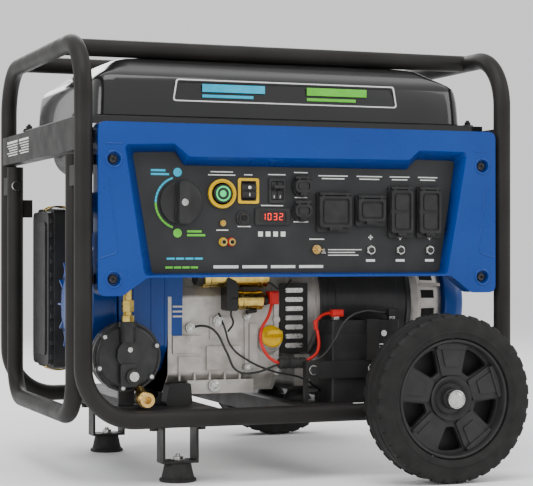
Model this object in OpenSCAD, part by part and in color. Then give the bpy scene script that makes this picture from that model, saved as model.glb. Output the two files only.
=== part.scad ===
/* [Frame] */
// Length between the end hoops' centre lines
frame_l = 730; // [700:5:880]
// Width between the front and rear rails' centre lines
frame_w = 540; // [520:5:650]
// Height of the top rails' centre line above the ground
top_z = 700; // [690:5:840]
// Height of the bottom rails' centre line above the ground
rail_z = 106; // [100:1:125]
// Outer diameter of the frame tube
tube_d = 28.6; // [26:0.2:32]
// Wall thickness of the frame tube
tube_wall = 2; // [1.2:0.2:3]
// Centre-line radius of the frame bends
bend_r = 85; // [70:1:100]
// Distance of each top rail from the middle of the frame
top_rail_y = 140; // [110:1:170]

/* [Wheels and feet] */
// Outside diameter of the tyres
tyre_d = 270; // [255:1:290]
// Width of the tyres
tyre_w = 68; // [55:1:80]
// Diameter of the rims
rim_d = 196; // [180:1:205]
// Distance of the axles to the right of the middle
wheel_x = 204; // [190:1:225]
// Gap between the frame tube and the inner face of a tyre
wheel_gap = 62; // [50:1:80]
// Diameter of the stub axles
axle_d = 16; // [12:1:20]
// Distance of the feet to the left of the middle
foot_x = 194; // [175:1:215]
// Distance of each foot from the middle of the frame
foot_y = 214; // [200:1:230]
// Diameter of the rubber feet at the ground
foot_d = 60; // [50:1:66]
// Height of the rubber feet
foot_h = 30; // [24:1:34]

/* [Handle] */
// Height of the handle's pivots
pivot_drop = 213; // [205:1:230]
// Gap between a handle leg and the hoop beside it
handle_gap = 26; // [22:1:32]
// Diameter of the pivot pins
pin_d = 10; // [8:1:12]

/* [Fuel tank] */
// Length of the tank shell
tank_l = 650; // [600:5:665]
// Depth of the tank shell, front to rear
tank_w = 410; // [380:5:430]
// Height of the tank shell
tank_h = 104; // [90:1:108]
// Diameter of the fuel cap
cap_d = 82; // [70:1:90]

/* [Control panel] */
// Height of the blue fascia
fascia_h = 270; // [260:1:285]
// Depth of the blue fascia
fascia_d = 30; // [25:1:34]
// Wall thickness of moulded panels
shell_wall = 2.5; // [2:0.1:3]
// Depth of the recess around the control plate
recess_d = 20; // [15:1:24]
// Diameter of the fuel selector disc
selector_d = 70; // [60:1:74]
// Diameter of the start button
start_d = 30; // [24:1:32]

/* [Engine and alternator] */
// Height of the crankshaft
shaft_z = 280; // [275:1:290]
// Distance of the crankshaft in front of the middle
shaft_y = -85; // [-90:1:-80]
// Diameter of the crankshaft
shaft_d = 30; // [25:1:34]
// Diameter of the recoil starter cover
recoil_d = 192; // [180:1:196]
// Diameter of the alternator casing
alternator_d = 200; // [190:1:204]
// Length of the alternator casing
alternator_l = 158; // [140:1:165]
// Battery width
battery_l = 125; // [110:1:130]
// Battery depth
battery_w = 64; // [56:1:66]
// Battery height
battery_h = 134; // [120:1:136]

/* [Clearances] */
// Radial gap between a turning bore and its pin or shaft
run_gap = 0.05; // [0.02:0.01:0.1]
// Gap between parts that move past each other
slide_gap = 0.6; // [0.4:0.1:1]

/* [Hidden] */
$fn = 48;

tube_r = tube_d / 2;
hoop_x = frame_l / 2;
rail_y = frame_w / 2;
inner_x = hoop_x - tube_r;
inner_y = rail_y - tube_r;
bend_top_z = top_z - bend_r;
bend_low_z = rail_z + bend_r;

// Cross members and side plates
beam_w = 104;
beam_h = 28;
beam_z = rail_z - beam_h / 2;
beam_top = rail_z + beam_h / 2;
beam_left_x = -foot_x;
beam_right_x = 40;
plate_z = top_z - 174;
plate_h = 50;
plate_d = 26;
plate_wall = 3;

// Wheels
tyre_r = tyre_d / 2;
rim_r = rim_d / 2;
axle_z = tyre_r;
wheel_in = rail_y + tube_r + wheel_gap;
wheel_mid = wheel_in + tyre_w / 2;
hub_r = 22;
hub_half = 24;
axle_in = inner_y - 4;
axle_out = wheel_mid + hub_half + 13;
spoke_count = 5;

// Handle
leg_y = rail_y - tube_r - handle_gap - tube_r;
handle_top = plate_z - 5;
pivot_z = top_z - pivot_drop;
handle_bend = 60;
handle_low_z = rail_z + 2;

// Tank
tank_x = -10;
tank_y = -20;
tank_z = plate_z + plate_h + 8;
tank_top = tank_z + tank_h;
tank_wall = 1.5;
cap_x = -88;
cap_y = 0;
mount_x = hoop_x - 17;
mount_y = 178;

// Fascia and control plate
fascia_x = inner_x - 5.7;
fascia_z = top_z - 400;
fascia_top = fascia_z + fascia_h;
fascia_y = -rail_y - 14;
plate_face = fascia_y + recess_d + 2;
plate_t = 3;
plate_back = plate_face + plate_t;
waist_z = fascia_z + 28;
box_d = 36;
screw_x = fascia_x - 25;
screw_low_z = fascia_z + 26;
screw_high_z = fascia_top - 58;

// Places on the control plate, as [x, z]
selector_at = [-205, fascia_z + 146];
start_at = [-136, fascia_z + 161];
rocker_at = [-91, fascia_z + 166];
twin_at = [-42, fascia_z + 167];
lamp_at = [-135, fascia_z + 114];
socket_at = [-100, fascia_z + 122];
jack_at = [-134, fascia_z + 84];
jack_step = 14;
display_at = [-50, fascia_z + 125];
round_at = [[1, fascia_z + 174], [1, fascia_z + 134]];
at_50a = [57, fascia_z + 133];
at_30a = [122, fascia_z + 136];
duplex_at = [[177, fascia_z + 134], [229, fascia_z + 134]];
reset_z = fascia_z + 71;
reset_at = [[124, reset_z], [178, reset_z], [232, reset_z]];
ground_at = [28, reset_z + 1];
size_50a = [62, 65];
size_30a = [54, 51];
size_duplex = [45, 85];
size_round = [35, 35];

// Flip covers
flip_base_t = 5;
flip_pin_r = 1.4;
flip_knuckle_r = 3.1;
flip_pin_y = plate_face - flip_base_t - flip_knuckle_r - slide_gap;
flip_cover_t = 5;

// Engine
case_x0 = -204;
case_x1 = -12;
case_y0 = -190;
case_y1 = 34;
case_z0 = 138;
case_z1 = 352;
case_wall = 8;
shaft_r = shaft_d / 2;
shroud_x0 = -288;
shroud_x1 = case_x0 - 1;
recoil_x = -342;
bell_x1 = 76;
alt_x1 = bell_x1 + alternator_l;
end_bell_l = 66;
end_x = alt_x1 + end_bell_l;
cover_l = 38;
alt_r = alternator_d / 2;
rotor_r = 62;

// Battery
battery_x = 60;
battery_y = shaft_y - 165;
battery_z = beam_top + 1;
battery_top = battery_z + battery_h;

// Leads: points of the red and black battery leads
red_lead = [
    [-30, -212, 286], [-32, -214, 276], [-39, -218, 264], [-49, -222, 252], [-55, -224, 237],
    [-55, -226, 222], [-51, -228, 208], [-43, -230, 196], [-32, -231, 189], [-14, -231, 187],
    [10, -231, 187], [24, -232, 190], [35, -234, 197], [41, -237, 208], [40, -239, 222],
    [36, -239, 236], [36, -238, 249], [43, -237, 260], [54, -237, 266], [72, -237, 267]
];
black_lead = [
    [-164, -200, 246], [-148, -204, 248], [-132, -209, 242], [-118, -213, 226], [-111, -214, 206],
    [-104, -214, 186], [-92, -214, 174], [-78, -214, 169], [-62, -217, 171], [-44, -223, 179],
    [-24, -231, 184], [-6, -234, 183], [8, -236, 183], [24, -240, 186], [38, -247, 193],
    [49, -256, 205], [58, -262, 221], [68, -264, 240], [80, -262, 256], [96, -258, 266],
    [116, -252, 270], [138, -244, 269], [156, -239, 267], [175, -237, 267]
];
lead_d = 5;
// Gas hose from the regulator's outlet pipe to the carburettor
gas_hose = [
    [-283, -232, 402.05], [-283, -232, 412], [-283, -228, 424], [-281, -212, 434], [-277, -180, 439],
    [-265, -110, 439], [-245, -40, 436], [-225, 30, 430], [-208, 80, 416], [-201, 104, 396],
    [-199, 110, 374], [-199, 110, 352.05]
];

// ---------- helpers ----------

// Points of a polygon whose corners are rounded to radius r
function unit(v) = v / norm(v);
function corner(p, q, s, r, n = 6) =
    let (u = unit(p - q), v = unit(s - q), half = acos(u * v) / 2,
         t = r / tan(half), c = q + unit(u + v) * r / sin(half),
         a = q + u * t, b = q + v * t,
         a0 = atan2(a[1] - c[1], a[0] - c[0]), a1 = atan2(b[1] - c[1], b[0] - c[0]),
         turn = a1 - a0 > 180 ? a1 - a0 - 360 : (a1 - a0 < -180 ? a1 - a0 + 360 : a1 - a0))
    [for (i = [0 : n]) c + r * [cos(a0 + turn * i / n), sin(a0 + turn * i / n)]];
function rounded(pts, r, n = 6) =
    [for (i = [0 : len(pts) - 1])
        each corner(pts[(i + len(pts) - 1) % len(pts)], pts[i], pts[(i + 1) % len(pts)], r, n)];
function rect_pts(w, h) = [[-w / 2, -h / 2], [w / 2, -h / 2], [w / 2, h / 2], [-w / 2, h / 2]];

// Tube swept along a route of points
function tangent(p, i) = unit(p[min(i + 1, len(p) - 1)] - p[max(i - 1, 0)]);
function side(t) = unit(cross(t, abs(t[2]) < 0.9 ? [0, 0, 1] : [0, 1, 0]));
module lead(route, d, sides = 8) {
    n = len(route);
    rings = [for (i = [0 : n - 1])
        let (t = tangent(route, i), u = side(t), v = cross(t, u))
        each [for (k = [0 : sides - 1])
            route[i] + d / 2 * (u * cos(360 * k / sides) + v * sin(360 * k / sides))]];
    faces = concat([[for (k = [0 : sides - 1]) k]],
        [[for (k = [sides - 1 : -1 : 0]) (n - 1) * sides + k]],
        [for (i = [0 : n - 2]) each [for (k = [0 : sides - 1])
            [i * sides + k, (i + 1) * sides + k,
             (i + 1) * sides + (k + 1) % sides, i * sides + (k + 1) % sides]]]);
    polyhedron(rings, faces);
}

module along_x(x0, x1, r) { translate([x0, 0, 0]) rotate([0, 90, 0]) cylinder(r = r, h = x1 - x0); }
module along_y(y0, y1, r) { translate([0, y1, 0]) rotate([90, 0, 0]) cylinder(r = r, h = y1 - y0); }
module block(x0, x1, y0, y1, z0, z1) { translate([x0, y0, z0]) cube([x1 - x0, y1 - y0, z1 - z0]); }

// An X-Z outline extruded from y0 to y1
module slab(pts, y0, y1) {
    translate([0, y1, 0]) rotate([90, 0, 0]) linear_extrude(y1 - y0) polygon(pts);
}
// A Y-Z outline extruded from x0 to x1
module slab_x(pts, x0, x1) {
    translate([x0, 0, 0]) rotate([90, 0, 90]) linear_extrude(x1 - x0) polygon(pts);
}
// Rounded plate in X and Z, centred at [x, z]
module plate_at(at, w, h, r, y0, y1) {
    translate([at[0], 0, at[1]]) slab(rounded(rect_pts(w, h), r), y0, y1);
}
module hex_y(y0, y1, across) {
    translate([0, y1, 0]) rotate([90, 0, 0]) cylinder(d = across / cos(30), h = y1 - y0, $fn = 6);
}
module hex_z(z0, z1, across) {
    translate([0, 0, z0]) cylinder(d = across / cos(30), h = z1 - z0, $fn = 6);
}
// A quarter of a bent tube in the Y-Z plane: centre at the origin, from a0 over 90 degrees
module elbow_yz(radius, a0, r) {
    rotate([90, 0, 90]) rotate([0, 0, a0]) rotate_extrude(angle = 90) translate([radius, 0]) circle(r = r);
}
module elbow_xz(radius, a0, r) {
    rotate([90, 0, 0]) rotate([0, 0, a0]) rotate_extrude(angle = 90) translate([radius, 0]) circle(r = r);
}

// ---------- frame ----------

// One end hoop: two uprights, two bends and the top tube
module hoop_solid(r) {
    for (s = [-1, 1]) {
        translate([0, s * rail_y, bend_low_z]) cylinder(r = r, h = bend_top_z - bend_low_z);
        translate([0, s * (rail_y - bend_r), bend_top_z]) elbow_yz(bend_r, s > 0 ? 0 : 90, r);
    }
    translate([0, 0, top_z]) along_y(-rail_y + bend_r, rail_y - bend_r, r);
}
module end_hoops() {
    color([0.2, 0.19, 0.19])
    for (s = [-1, 1])
        translate([s * hoop_x, 0, 0])
            difference() {
                hoop_solid(tube_r);
                hoop_solid(tube_r - tube_wall);
            }
}

module bottom_rail_solid(r) {
    along_x(-hoop_x + bend_r, hoop_x - bend_r, r);
    for (s = [-1, 1])
        translate([s * (hoop_x - bend_r), 0, bend_r]) elbow_xz(bend_r, s > 0 ? 270 : 180, r);
}
// Bottom rails with their upturned ends, and the two straight top rails
module long_rails() {
    color([0.2, 0.19, 0.19]) {
        for (s = [-1, 1])
            translate([0, s * rail_y, rail_z])
                difference() {
                    bottom_rail_solid(tube_r);
                    bottom_rail_solid(tube_r - tube_wall);
                }
        for (s = [-1, 1])
            translate([0, s * top_rail_y, top_z])
                difference() {
                    along_x(-hoop_x, hoop_x, tube_r);
                    along_x(-hoop_x, hoop_x, tube_r - tube_wall);
                    for (e = [-1, 1])
                        translate([e * hoop_x, 0, 0]) along_y(-tube_d, tube_d, tube_r);
                }
    }
}

// A channel beam across the frame, open underneath
module beam(x) {
    difference() {
        block(x - beam_w / 2, x + beam_w / 2, -rail_y, rail_y, beam_z, beam_top);
        block(x - beam_w / 2 + plate_wall, x + beam_w / 2 - plate_wall, -inner_y, inner_y,
            beam_z - 1, beam_top - plate_wall);
        for (s = [-1, 1])
            translate([0, s * rail_y, rail_z]) along_x(x - beam_w, x + beam_w, tube_r);
    }
}
// A side plate between the uprights of a hoop, open towards the engine
module side_plate(s) {
    difference() {
        block(s * hoop_x - plate_d / 2, s * hoop_x + plate_d / 2, -rail_y, rail_y,
            plate_z, plate_z + plate_h);
        translate([-s * plate_wall, 0, 0])
            block(s * hoop_x - plate_d / 2, s * hoop_x + plate_d / 2, -inner_y, inner_y,
                plate_z + plate_wall, plate_z + plate_h - plate_wall);
        for (e = [-1, 1])
            translate([s * hoop_x, e * rail_y, plate_z - 1]) cylinder(r = tube_r, h = plate_h + 2);
    }
}
// Ledge on a side plate that carries one tank mount
module mount_ledge(s, e) {
    x0 = hoop_x - plate_d / 2;
    difference() {
        block(min(s * x0, s * (mount_x - 16)), max(s * x0, s * (mount_x - 16)),
            e * mount_y - 20, e * mount_y + 20, plate_z + plate_h - plate_wall, plate_z + plate_h);
        translate([s * mount_x, e * mount_y, plate_z]) cylinder(r = 4.2, h = plate_h + 10);
    }
}
module cross_members() {
    color([0.15, 0.14, 0.14]) {
        beam(beam_left_x);
        beam(beam_right_x);
        for (s = [-1, 1]) {
            side_plate(s);
            for (e = [-1, 1]) mount_ledge(s, e);
        }
        battery_tray();
        block(-318, beam_left_x - beam_w / 2 + 2, -inner_y + 3, -190, beam_top - 2, beam_top + 1);
        for (s = [-1, 1], z = [screw_low_z, screw_high_z]) fascia_lug(s, z);
    }
}
lug_h = 16;
lug_l = hoop_x - screw_x + 18;
// Lug on a front upright that takes one fascia screw
module fascia_lug(s, z) {
    y0 = fascia_y + fascia_d;
    difference() {
        union() {
            translate([s * (screw_x + hoop_x) / 2, 0, z])
                block(-lug_l / 2, lug_l / 2, y0, y0 + 3, -lug_h / 2, lug_h / 2);
            translate([s * (inner_x + 3), 0, z]) block(-8, 8, y0 - 8, y0, -lug_h / 2, lug_h / 2);
        }
        translate([s * hoop_x, -rail_y, z - 20]) cylinder(r = tube_r, h = 40);
        translate([s * screw_x, 0, z]) along_y(y0 - 10, y0 + 10, 3.51);
    }
}
module battery_tray() {
    x0 = battery_x - 3;
    x1 = battery_x + battery_l + 3;
    y1 = battery_y + battery_w + 3;
    block(x0, x1, battery_y - 1, y1, beam_top, beam_top + 1);
    block(beam_right_x + beam_w / 2 - 1, x1, battery_y - 1, y1, beam_top - 1, beam_top);
    block(x0, x1, y1 - 2, y1, beam_top + 1, beam_top + 14);
    block(x1 - 2, x1, battery_y - 1, y1 - 2, beam_top + 1, beam_top + 14);
}

// Foot strap: a hat-shaped bracket under the left beam
foot_leg = 30;
module foot_strap(s) {
    translate([-foot_x, s * foot_y, 0])
        difference() {
            union() {
                block(-beam_w / 2, beam_w / 2, -17, 17, beam_z - 4, beam_z);
                for (e = [-1, 1])
                    translate([e * (foot_leg - 2), 0, 0]) block(-2, 2, -17, 17, foot_h, beam_z - 4);
                block(-foot_leg, foot_leg, -17, 17, foot_h, foot_h + 4);
            }
            translate([0, 0, foot_h - 1]) cylinder(r = 5.2, h = 6);
        }
    for (e = [-1, 1])
        translate([-foot_x + e * (foot_leg + 10), s * foot_y, 0]) hex_z(beam_z - 10, beam_z - 4, 13);
}
// Axle bracket: a plate on the rail with a boss for the stub axle
module axle_bracket(s) {
    y0 = rail_y - tube_r;
    y1 = rail_y + tube_r;
    pts = rounded([[-34, rail_z - 10], [34, rail_z - 10], [22, axle_z + 24], [-22, axle_z + 24]], 8);
    difference() {
        union() {
            for (y = [y0 - 4, y1])
                translate([wheel_x, 0, 0])
                    slab(pts, s > 0 ? y : -y - 4, s > 0 ? y + 4 : -y);
            translate([wheel_x, 0, axle_z])
                along_y(s > 0 ? y0 : -y1, s > 0 ? y1 : -y0, axle_d / 2 + 5);
        }
        translate([wheel_x, 0, axle_z])
            along_y(s > 0 ? y0 - 10 : -y1 - 10, s > 0 ? y1 + 10 : -y0 + 10, axle_d / 2 + 0.01);
        translate([0, s * rail_y, rail_z]) along_x(wheel_x - 60, wheel_x + 60, tube_r);
    }
}
// Handle pivot: a block on the upright that holds the pin, and the pin with its head
module handle_pivot(s) {
    in_y = leg_y + tube_r + slide_gap;
    translate([-hoop_x, 0, pivot_z]) {
        difference() {
            block(-12, 12, s > 0 ? in_y : -inner_y - 3, s > 0 ? inner_y + 3 : -in_y, -16, 16);
            translate([0, s * rail_y, -20]) cylinder(r = tube_r, h = 40);
        }
        along_y(s > 0 ? leg_y - tube_r - slide_gap : -in_y,
            s > 0 ? in_y : -leg_y + tube_r + slide_gap, pin_d / 2);
        along_y(s > 0 ? leg_y - tube_r - slide_gap - 6 : -leg_y + tube_r + slide_gap,
            s > 0 ? leg_y - tube_r - slide_gap : -leg_y + tube_r + slide_gap + 6, 8.5);
    }
}
module frame_brackets() {
    color([0.17, 0.16, 0.16])
    for (s = [-1, 1]) {
        foot_strap(s);
        axle_bracket(s);
        handle_pivot(s);
    }
}

module stub_axles() {
    color([0.7, 0.7, 0.68])
    for (s = [-1, 1])
        translate([wheel_x, 0, axle_z]) {
            along_y(s > 0 ? axle_in : -axle_out, s > 0 ? axle_out : -axle_in, axle_d / 2);
            along_y(s > 0 ? axle_in - 8 : -axle_in, s > 0 ? axle_in : -axle_in + 8, 13);
            for (y = [wheel_mid - hub_half - slide_gap - 3, wheel_mid + hub_half + slide_gap])
                along_y(s > 0 ? y : -y - 3, s > 0 ? y + 3 : -y, 14);
            translate([0, s > 0 ? wheel_mid + hub_half + slide_gap + 3 : -axle_out + 2, 0])
                hex_y(0, axle_out - wheel_mid - hub_half - slide_gap - 5, 22);
        }
}

module rubber_feet() {
    color([0.12, 0.12, 0.12])
    for (s = [-1, 1])
        translate([-foot_x, s * foot_y, 0])
            difference() {
                union() {
                    cylinder(r1 = foot_d / 2, r2 = foot_d / 2 - 1, h = 5);
                    translate([0, 0, 5]) cylinder(r1 = foot_d / 2 - 3, r2 = foot_d / 2 - 8, h = foot_h - 5);
                    translate([0, 0, foot_h]) cylinder(r = 5, h = 5);
                    translate([0, 0, foot_h + 4.01]) hex_z(0, 6, 16);
                }
                translate([0, 0, -1]) cylinder(r = 9, h = 9);
            }
}

// ---------- handle ----------

module handle_solid(r) {
    for (s = [-1, 1]) {
        translate([0, s * leg_y, handle_low_z + handle_bend])
            cylinder(r = r, h = handle_top - handle_low_z - handle_bend);
        translate([0, s * (leg_y - handle_bend), handle_low_z + handle_bend])
            elbow_yz(handle_bend, s > 0 ? 270 : 180, r);
    }
    translate([0, 0, handle_low_z]) along_y(-leg_y + handle_bend, leg_y - handle_bend, r);
}
module fold_handle() {
    color([0.18, 0.17, 0.17])
    translate([-hoop_x, 0, 0]) {
        difference() {
            handle_solid(tube_r);
            translate([0, 0, 0.01]) handle_solid(tube_r - tube_wall);
            for (s = [-1, 1])
                translate([0, 0, pivot_z])
                    along_y(s > 0 ? leg_y - tube_d : -leg_y - tube_d,
                        s > 0 ? leg_y + tube_d : -leg_y + tube_d, pin_d / 2 + run_gap);
        }
        for (s = [-1, 1])
            difference() {
                translate([0, s * leg_y, 0])
                    block(tube_r - 1.5, tube_r + 17, -2, 2, pivot_z - 57, pivot_z - 25);
                translate([0, s * leg_y, pivot_z - 60]) cylinder(r = tube_r - 0.4, h = 40);
            }
    }
}

// ---------- wheels ----------

module tyre_at(y) {
    w = tyre_w / 2;
    ring = [[rim_r - 3, -w + 8], [rim_r + 3, -w + 3], [rim_r + 12, -w], [tyre_r - 12, -w + 1],
            [tyre_r - 4, -w + 6], [tyre_r, -w + 14], [tyre_r, w - 14], [tyre_r - 4, w - 6],
            [tyre_r - 12, w - 1], [rim_r + 12, w], [rim_r + 3, w - 3], [rim_r - 3, w - 8]];
    translate([wheel_x, y, axle_z]) rotate([90, 0, 0])
        rotate_extrude($fn = 96) polygon(ring);
}
module front_tyre() { color([0.1, 0.1, 0.1]) tyre_at(-wheel_mid); }
module rear_tyre() { color([0.1, 0.1, 0.1]) tyre_at(wheel_mid); }

// A moulded rim: outer band, five-spoke disc set back from the face, and hub; s is the outer side
module rim_at(y, s) {
    band = 6;
    disc_in = 2;
    disc_out = 12;
    web_out = 20;
    web_in = 17;
    r_in = rim_r - 3 - band;
    translate([wheel_x, y, axle_z]) {
        difference() {
            union() {
                difference() {
                    along_y(-tyre_w / 2 + 8, tyre_w / 2 - 8, rim_r - 3);
                    along_y(-tyre_w / 2, tyre_w / 2, r_in);
                }
                along_y(s > 0 ? disc_in : -disc_out, s > 0 ? disc_out : -disc_in, r_in + 1);
                along_y(s > 0 ? -web_out : web_in, s > 0 ? -web_in : web_out, r_in + 1);
                along_y(-hub_half, hub_half, hub_r);
            }
            along_y(-tyre_w, tyre_w, axle_d / 2 + run_gap);
            for (k = [0 : spoke_count - 1])
                rotate([0, 90 + k * 360 / spoke_count, 0]) rim_window(s);
        }
    }
}
// Opening between two spokes of a rim, closed behind by the rim's inner web
module rim_window(s) {
    r0 = 46;
    r1 = rim_r - 16;
    a0 = 9;
    a1 = 16;
    outline = [for (a = [-a0, 0, a0]) r0 * [cos(a), sin(a)],
        for (a = [a1, a1 / 3, -a1 / 3, -a1]) r1 * [cos(a), sin(a)]];
    slab(rounded(outline, 5, 4), s > 0 ? 0 : -tyre_w, s > 0 ? tyre_w : 0);
}
module front_rim() { color([0.22, 0.22, 0.22]) rim_at(-wheel_mid, -1); }
module rear_rim() { color([0.22, 0.22, 0.22]) rim_at(wheel_mid, 1); }

// ---------- fuel tank ----------

function tank_ring(inset, front, r) = rounded([
    [-tank_l / 2 + inset, -tank_w / 2 + front], [tank_l / 2 - inset, -tank_w / 2 + front],
    [tank_l / 2 - inset, tank_w / 2 - inset], [-tank_l / 2 + inset, tank_w / 2 - inset]], r, 5);
// Each level is a height, an inset at the ends and rear, an inset at the front, and a corner radius
module tank_layers(wall) {
    levels = [[0, 0, 0, 22], [tank_h - 82, 1, 1, 22], [tank_h - 46, 5, 5, 22], [tank_h - 32, 18, 16, 26],
        [tank_h - 8, 52, 60, 30], [tank_h, 90, 100, 30]];
    rings = [for (l = levels) tank_ring(l[1] + wall, l[2] + wall, l[3] - wall)];
    n = len(rings[0]);
    pts = [for (i = [0 : len(levels) - 1])
        each [for (p = rings[i]) [p[0], p[1], i == 0 ? wall : levels[i][0] - wall]]];
    top = len(levels) - 1;
    faces = concat([[for (k = [0 : n - 1]) k]], [[for (k = [n - 1 : -1 : 0]) top * n + k]],
        [for (i = [0 : top - 1]) each [for (k = [0 : n - 1])
            [i * n + k, (i + 1) * n + k, (i + 1) * n + (k + 1) % n, i * n + (k + 1) % n]]]);
    polyhedron(pts, faces);
}
module fuel_tank() {
    color([0.08, 0.08, 0.08]) {
        translate([tank_x, tank_y, tank_z])
            difference() {
                tank_layers(0);
                tank_layers(tank_wall);
            }
        difference() {
            block(-mount_x - 13, mount_x + 13, tank_y - tank_w / 2 - 6, tank_y + tank_w / 2 + 6,
                tank_z - 3, tank_z);
            for (s = [-1, 1], e = [-1, 1])
                translate([s * mount_x, e * mount_y, tank_z - 5]) cylinder(r = 7, h = 10);
            block(-tank_l / 2 + 20, tank_l / 2 - 40, tank_y - tank_w / 2 + 16, tank_y + tank_w / 2 - 16,
                tank_z - 4, tank_z);
        }
        translate([cap_x, cap_y, tank_top - 2]) cylinder(r = cap_d / 2 - 9, h = 7);
    }
}
module fuel_cap() {
    color([0.1, 0.1, 0.1])
    translate([cap_x, cap_y, tank_top + slide_gap])
        difference() {
            union() {
                cylinder(r = cap_d / 2, h = 9, $fn = 60);
                translate([0, 0, 9]) cylinder(r1 = cap_d / 2, r2 = cap_d / 2 - 4, h = 3, $fn = 60);
            }
            translate([0, 0, -1]) cylinder(r = cap_d / 2 - 9 + slide_gap, h = 8 - slide_gap);
        }
}
module fuel_gauge() {
    color([0.85, 0.85, 0.85])
    translate([cap_x + 250, cap_y, tank_top]) {
        cylinder(r = 24, h = 4);
        translate([0, 0, 4]) cylinder(r1 = 20, r2 = 18, h = 2);
    }
}
module tank_mounts() {
    color([0.13, 0.13, 0.13])
    for (s = [-1, 1], e = [-1, 1])
        translate([s * mount_x, e * mount_y, plate_z + plate_h]) {
            cylinder(r = 12, h = 5);
            translate([0, 0, 5]) cylinder(r = 6.8, h = 3);
            translate([0, 0, 8]) cylinder(r1 = 12, r2 = 9, h = 5);
            translate([0, 0, 13]) hex_z(0, 5, 10);
            translate([0, 0, 18]) cylinder(r = 3, h = 3);
            translate([0, 0, -10]) cylinder(r = 3, h = 10);
        }
}
module vapour_canister() {
    color([0.14, 0.14, 0.14])
    translate([-hoop_x + 59, 0, plate_z + 8]) {
        along_y(-150, 10, 38);
        translate([0, 10, 0]) rotate([-90, 0, 0]) cylinder(r1 = 38, r2 = 26, h = 14);
        translate([0, -40, 0]) along_x(plate_d / 2 - 59, -30, 8);
    }
}

// ---------- control panel ----------

function fascia_pts(d) = [
    [-fascia_x + d, fascia_z + d], [-fascia_x + 39 - d / 2, fascia_z + d],
    [-fascia_x + 79 - d / 2, waist_z + d], [fascia_x - 83 + d / 2, waist_z + d],
    [fascia_x - 45 + d / 2, fascia_z + d], [fascia_x - d, fascia_z + d],
    [fascia_x - d, fascia_top - d], [-fascia_x + d, fascia_top - d]];
// Outline of the recess around the control plate, grown by g
function recess_pts(g) = [
    [-264 - g, waist_z + 5 - g], [252 + g, waist_z + 5 - g], [286 + g, fascia_top - 40 + g],
    [205 - g / 2, fascia_top - 40 + g], [188 - g / 2, fascia_top - 57 + g],
    [-198 + g / 2, fascia_top - 57 + g], [-218 + g / 2, fascia_top - 40 + g],
    [-296 - g, fascia_top - 40 + g]];
module panel_fascia() {
    y1 = fascia_y + fascia_d;
    color([0.05, 0.25, 0.62])
    difference() {
        union() {
            difference() {
                slab(rounded(fascia_pts(0), 12), fascia_y, y1);
                slab(rounded(fascia_pts(shell_wall), 10), fascia_y + shell_wall, y1 + 1);
            }
            slab(rounded(recess_pts(2), 8), fascia_y + 0.5, plate_face);
            for (x = [-screw_x, screw_x], z = [screw_low_z, screw_high_z])
                translate([x, 0, z]) along_y(fascia_y + 1, y1, 13);
        }
        slab(rounded(recess_pts(0), 8), fascia_y - 1, plate_face + 1);
        for (x = [-screw_x, screw_x], z = [screw_low_z, screw_high_z])
            translate([x, 0, z]) {
                along_y(fascia_y - 1, fascia_y + 7, 10.5);
                along_y(fascia_y - 1, y1 + 1, 4.1);
            }
    }
}
module hole_y(at, r) { translate([at[0], 0, at[1]]) along_y(plate_face - 1, plate_back + 1, r); }
module control_plate() {
    color([0.2, 0.2, 0.21])
    difference() {
        slab(rounded(recess_pts(2), 8), plate_face, plate_back);
        hole_y(selector_at, 7);
        hole_y(start_at, start_d / 2 + 2);
        plate_at(rocker_at, 22, 28, 2, plate_face - 1, plate_back + 1);
        plate_at(twin_at, 22, 34, 2, plate_face - 1, plate_back + 1);
        plate_at(display_at, 54, 22, 2, plate_face - 1, plate_back + 1);
        for (p = round_at) hole_y(p, 11);
        hole_y(at_50a, 24);
        hole_y(at_30a, 19);
        for (p = duplex_at) plate_at(p, 34, 68, 4, plate_face - 1, plate_back + 1);
        for (p = reset_at) hole_y(p, 6.2);
    }
}
module panel_box() {
    z0 = waist_z + 8;
    color([0.12, 0.12, 0.12])
    difference() {
        block(-250, 262, plate_back, plate_back + box_d, z0, 500);
        block(-250 + shell_wall, 262 - shell_wall, plate_back - 1, plate_back + box_d - shell_wall,
            z0 + shell_wall, 500 - shell_wall);
    }
}
module panel_screws() {
    color([0.5, 0.5, 0.52])
    for (x = [-screw_x, screw_x], z = [screw_low_z, screw_high_z])
        translate([x, 0, z]) {
            difference() {
                along_y(fascia_y + 3, fascia_y + 7, 7);
                block(-4.5, 4.5, fascia_y + 2, fascia_y + 5, -0.8, 0.8);
                block(-0.8, 0.8, fascia_y + 2, fascia_y + 5, -4.5, 4.5);
            }
            along_y(fascia_y + 7, fascia_y + fascia_d + 12, 3.5);
        }
}
module selector_knob() {
    y = plate_face - slide_gap;
    color([0.13, 0.13, 0.14])
    translate([selector_at[0], 0, selector_at[1]]) {
        along_y(y - 5, y, selector_d / 2);
        difference() {
            along_y(y - 22, y - 5, selector_d / 2 - 3);
            block(-selector_d, -6, y - 30, y - 5, -selector_d, selector_d);
            block(14, selector_d, y - 30, y - 5, -selector_d, selector_d);
        }
        along_y(y, plate_back + 20, 6);
        translate([8, 0, 0]) along_y(y - 24, y - 22, 5);
    }
}
module switch_bezels() {
    color([0.9, 0.75, 0.1]) {
        translate([start_at[0], 0, start_at[1]])
            difference() {
                union() {
                    along_y(plate_face - 5, plate_face, 23.5);
                    along_y(plate_face, plate_back + 16, start_d / 2 + 1.8);
                }
                along_y(plate_face - 6, plate_back + 12, start_d / 2 + slide_gap / 2);
            }
        difference() {
            plate_at(rocker_at, 36, 41, 2, plate_face - 2.5, plate_face);
            plate_at(rocker_at, 20, 27, 1, plate_face - 4, plate_face + 1);
        }
        difference() {
            plate_at(rocker_at, 21.6, 27.6, 1, plate_face, plate_back + 18);
            plate_at(rocker_at, 19.4, 26, 1, plate_face - 1, plate_back + 16);
        }
    }
}
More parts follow.
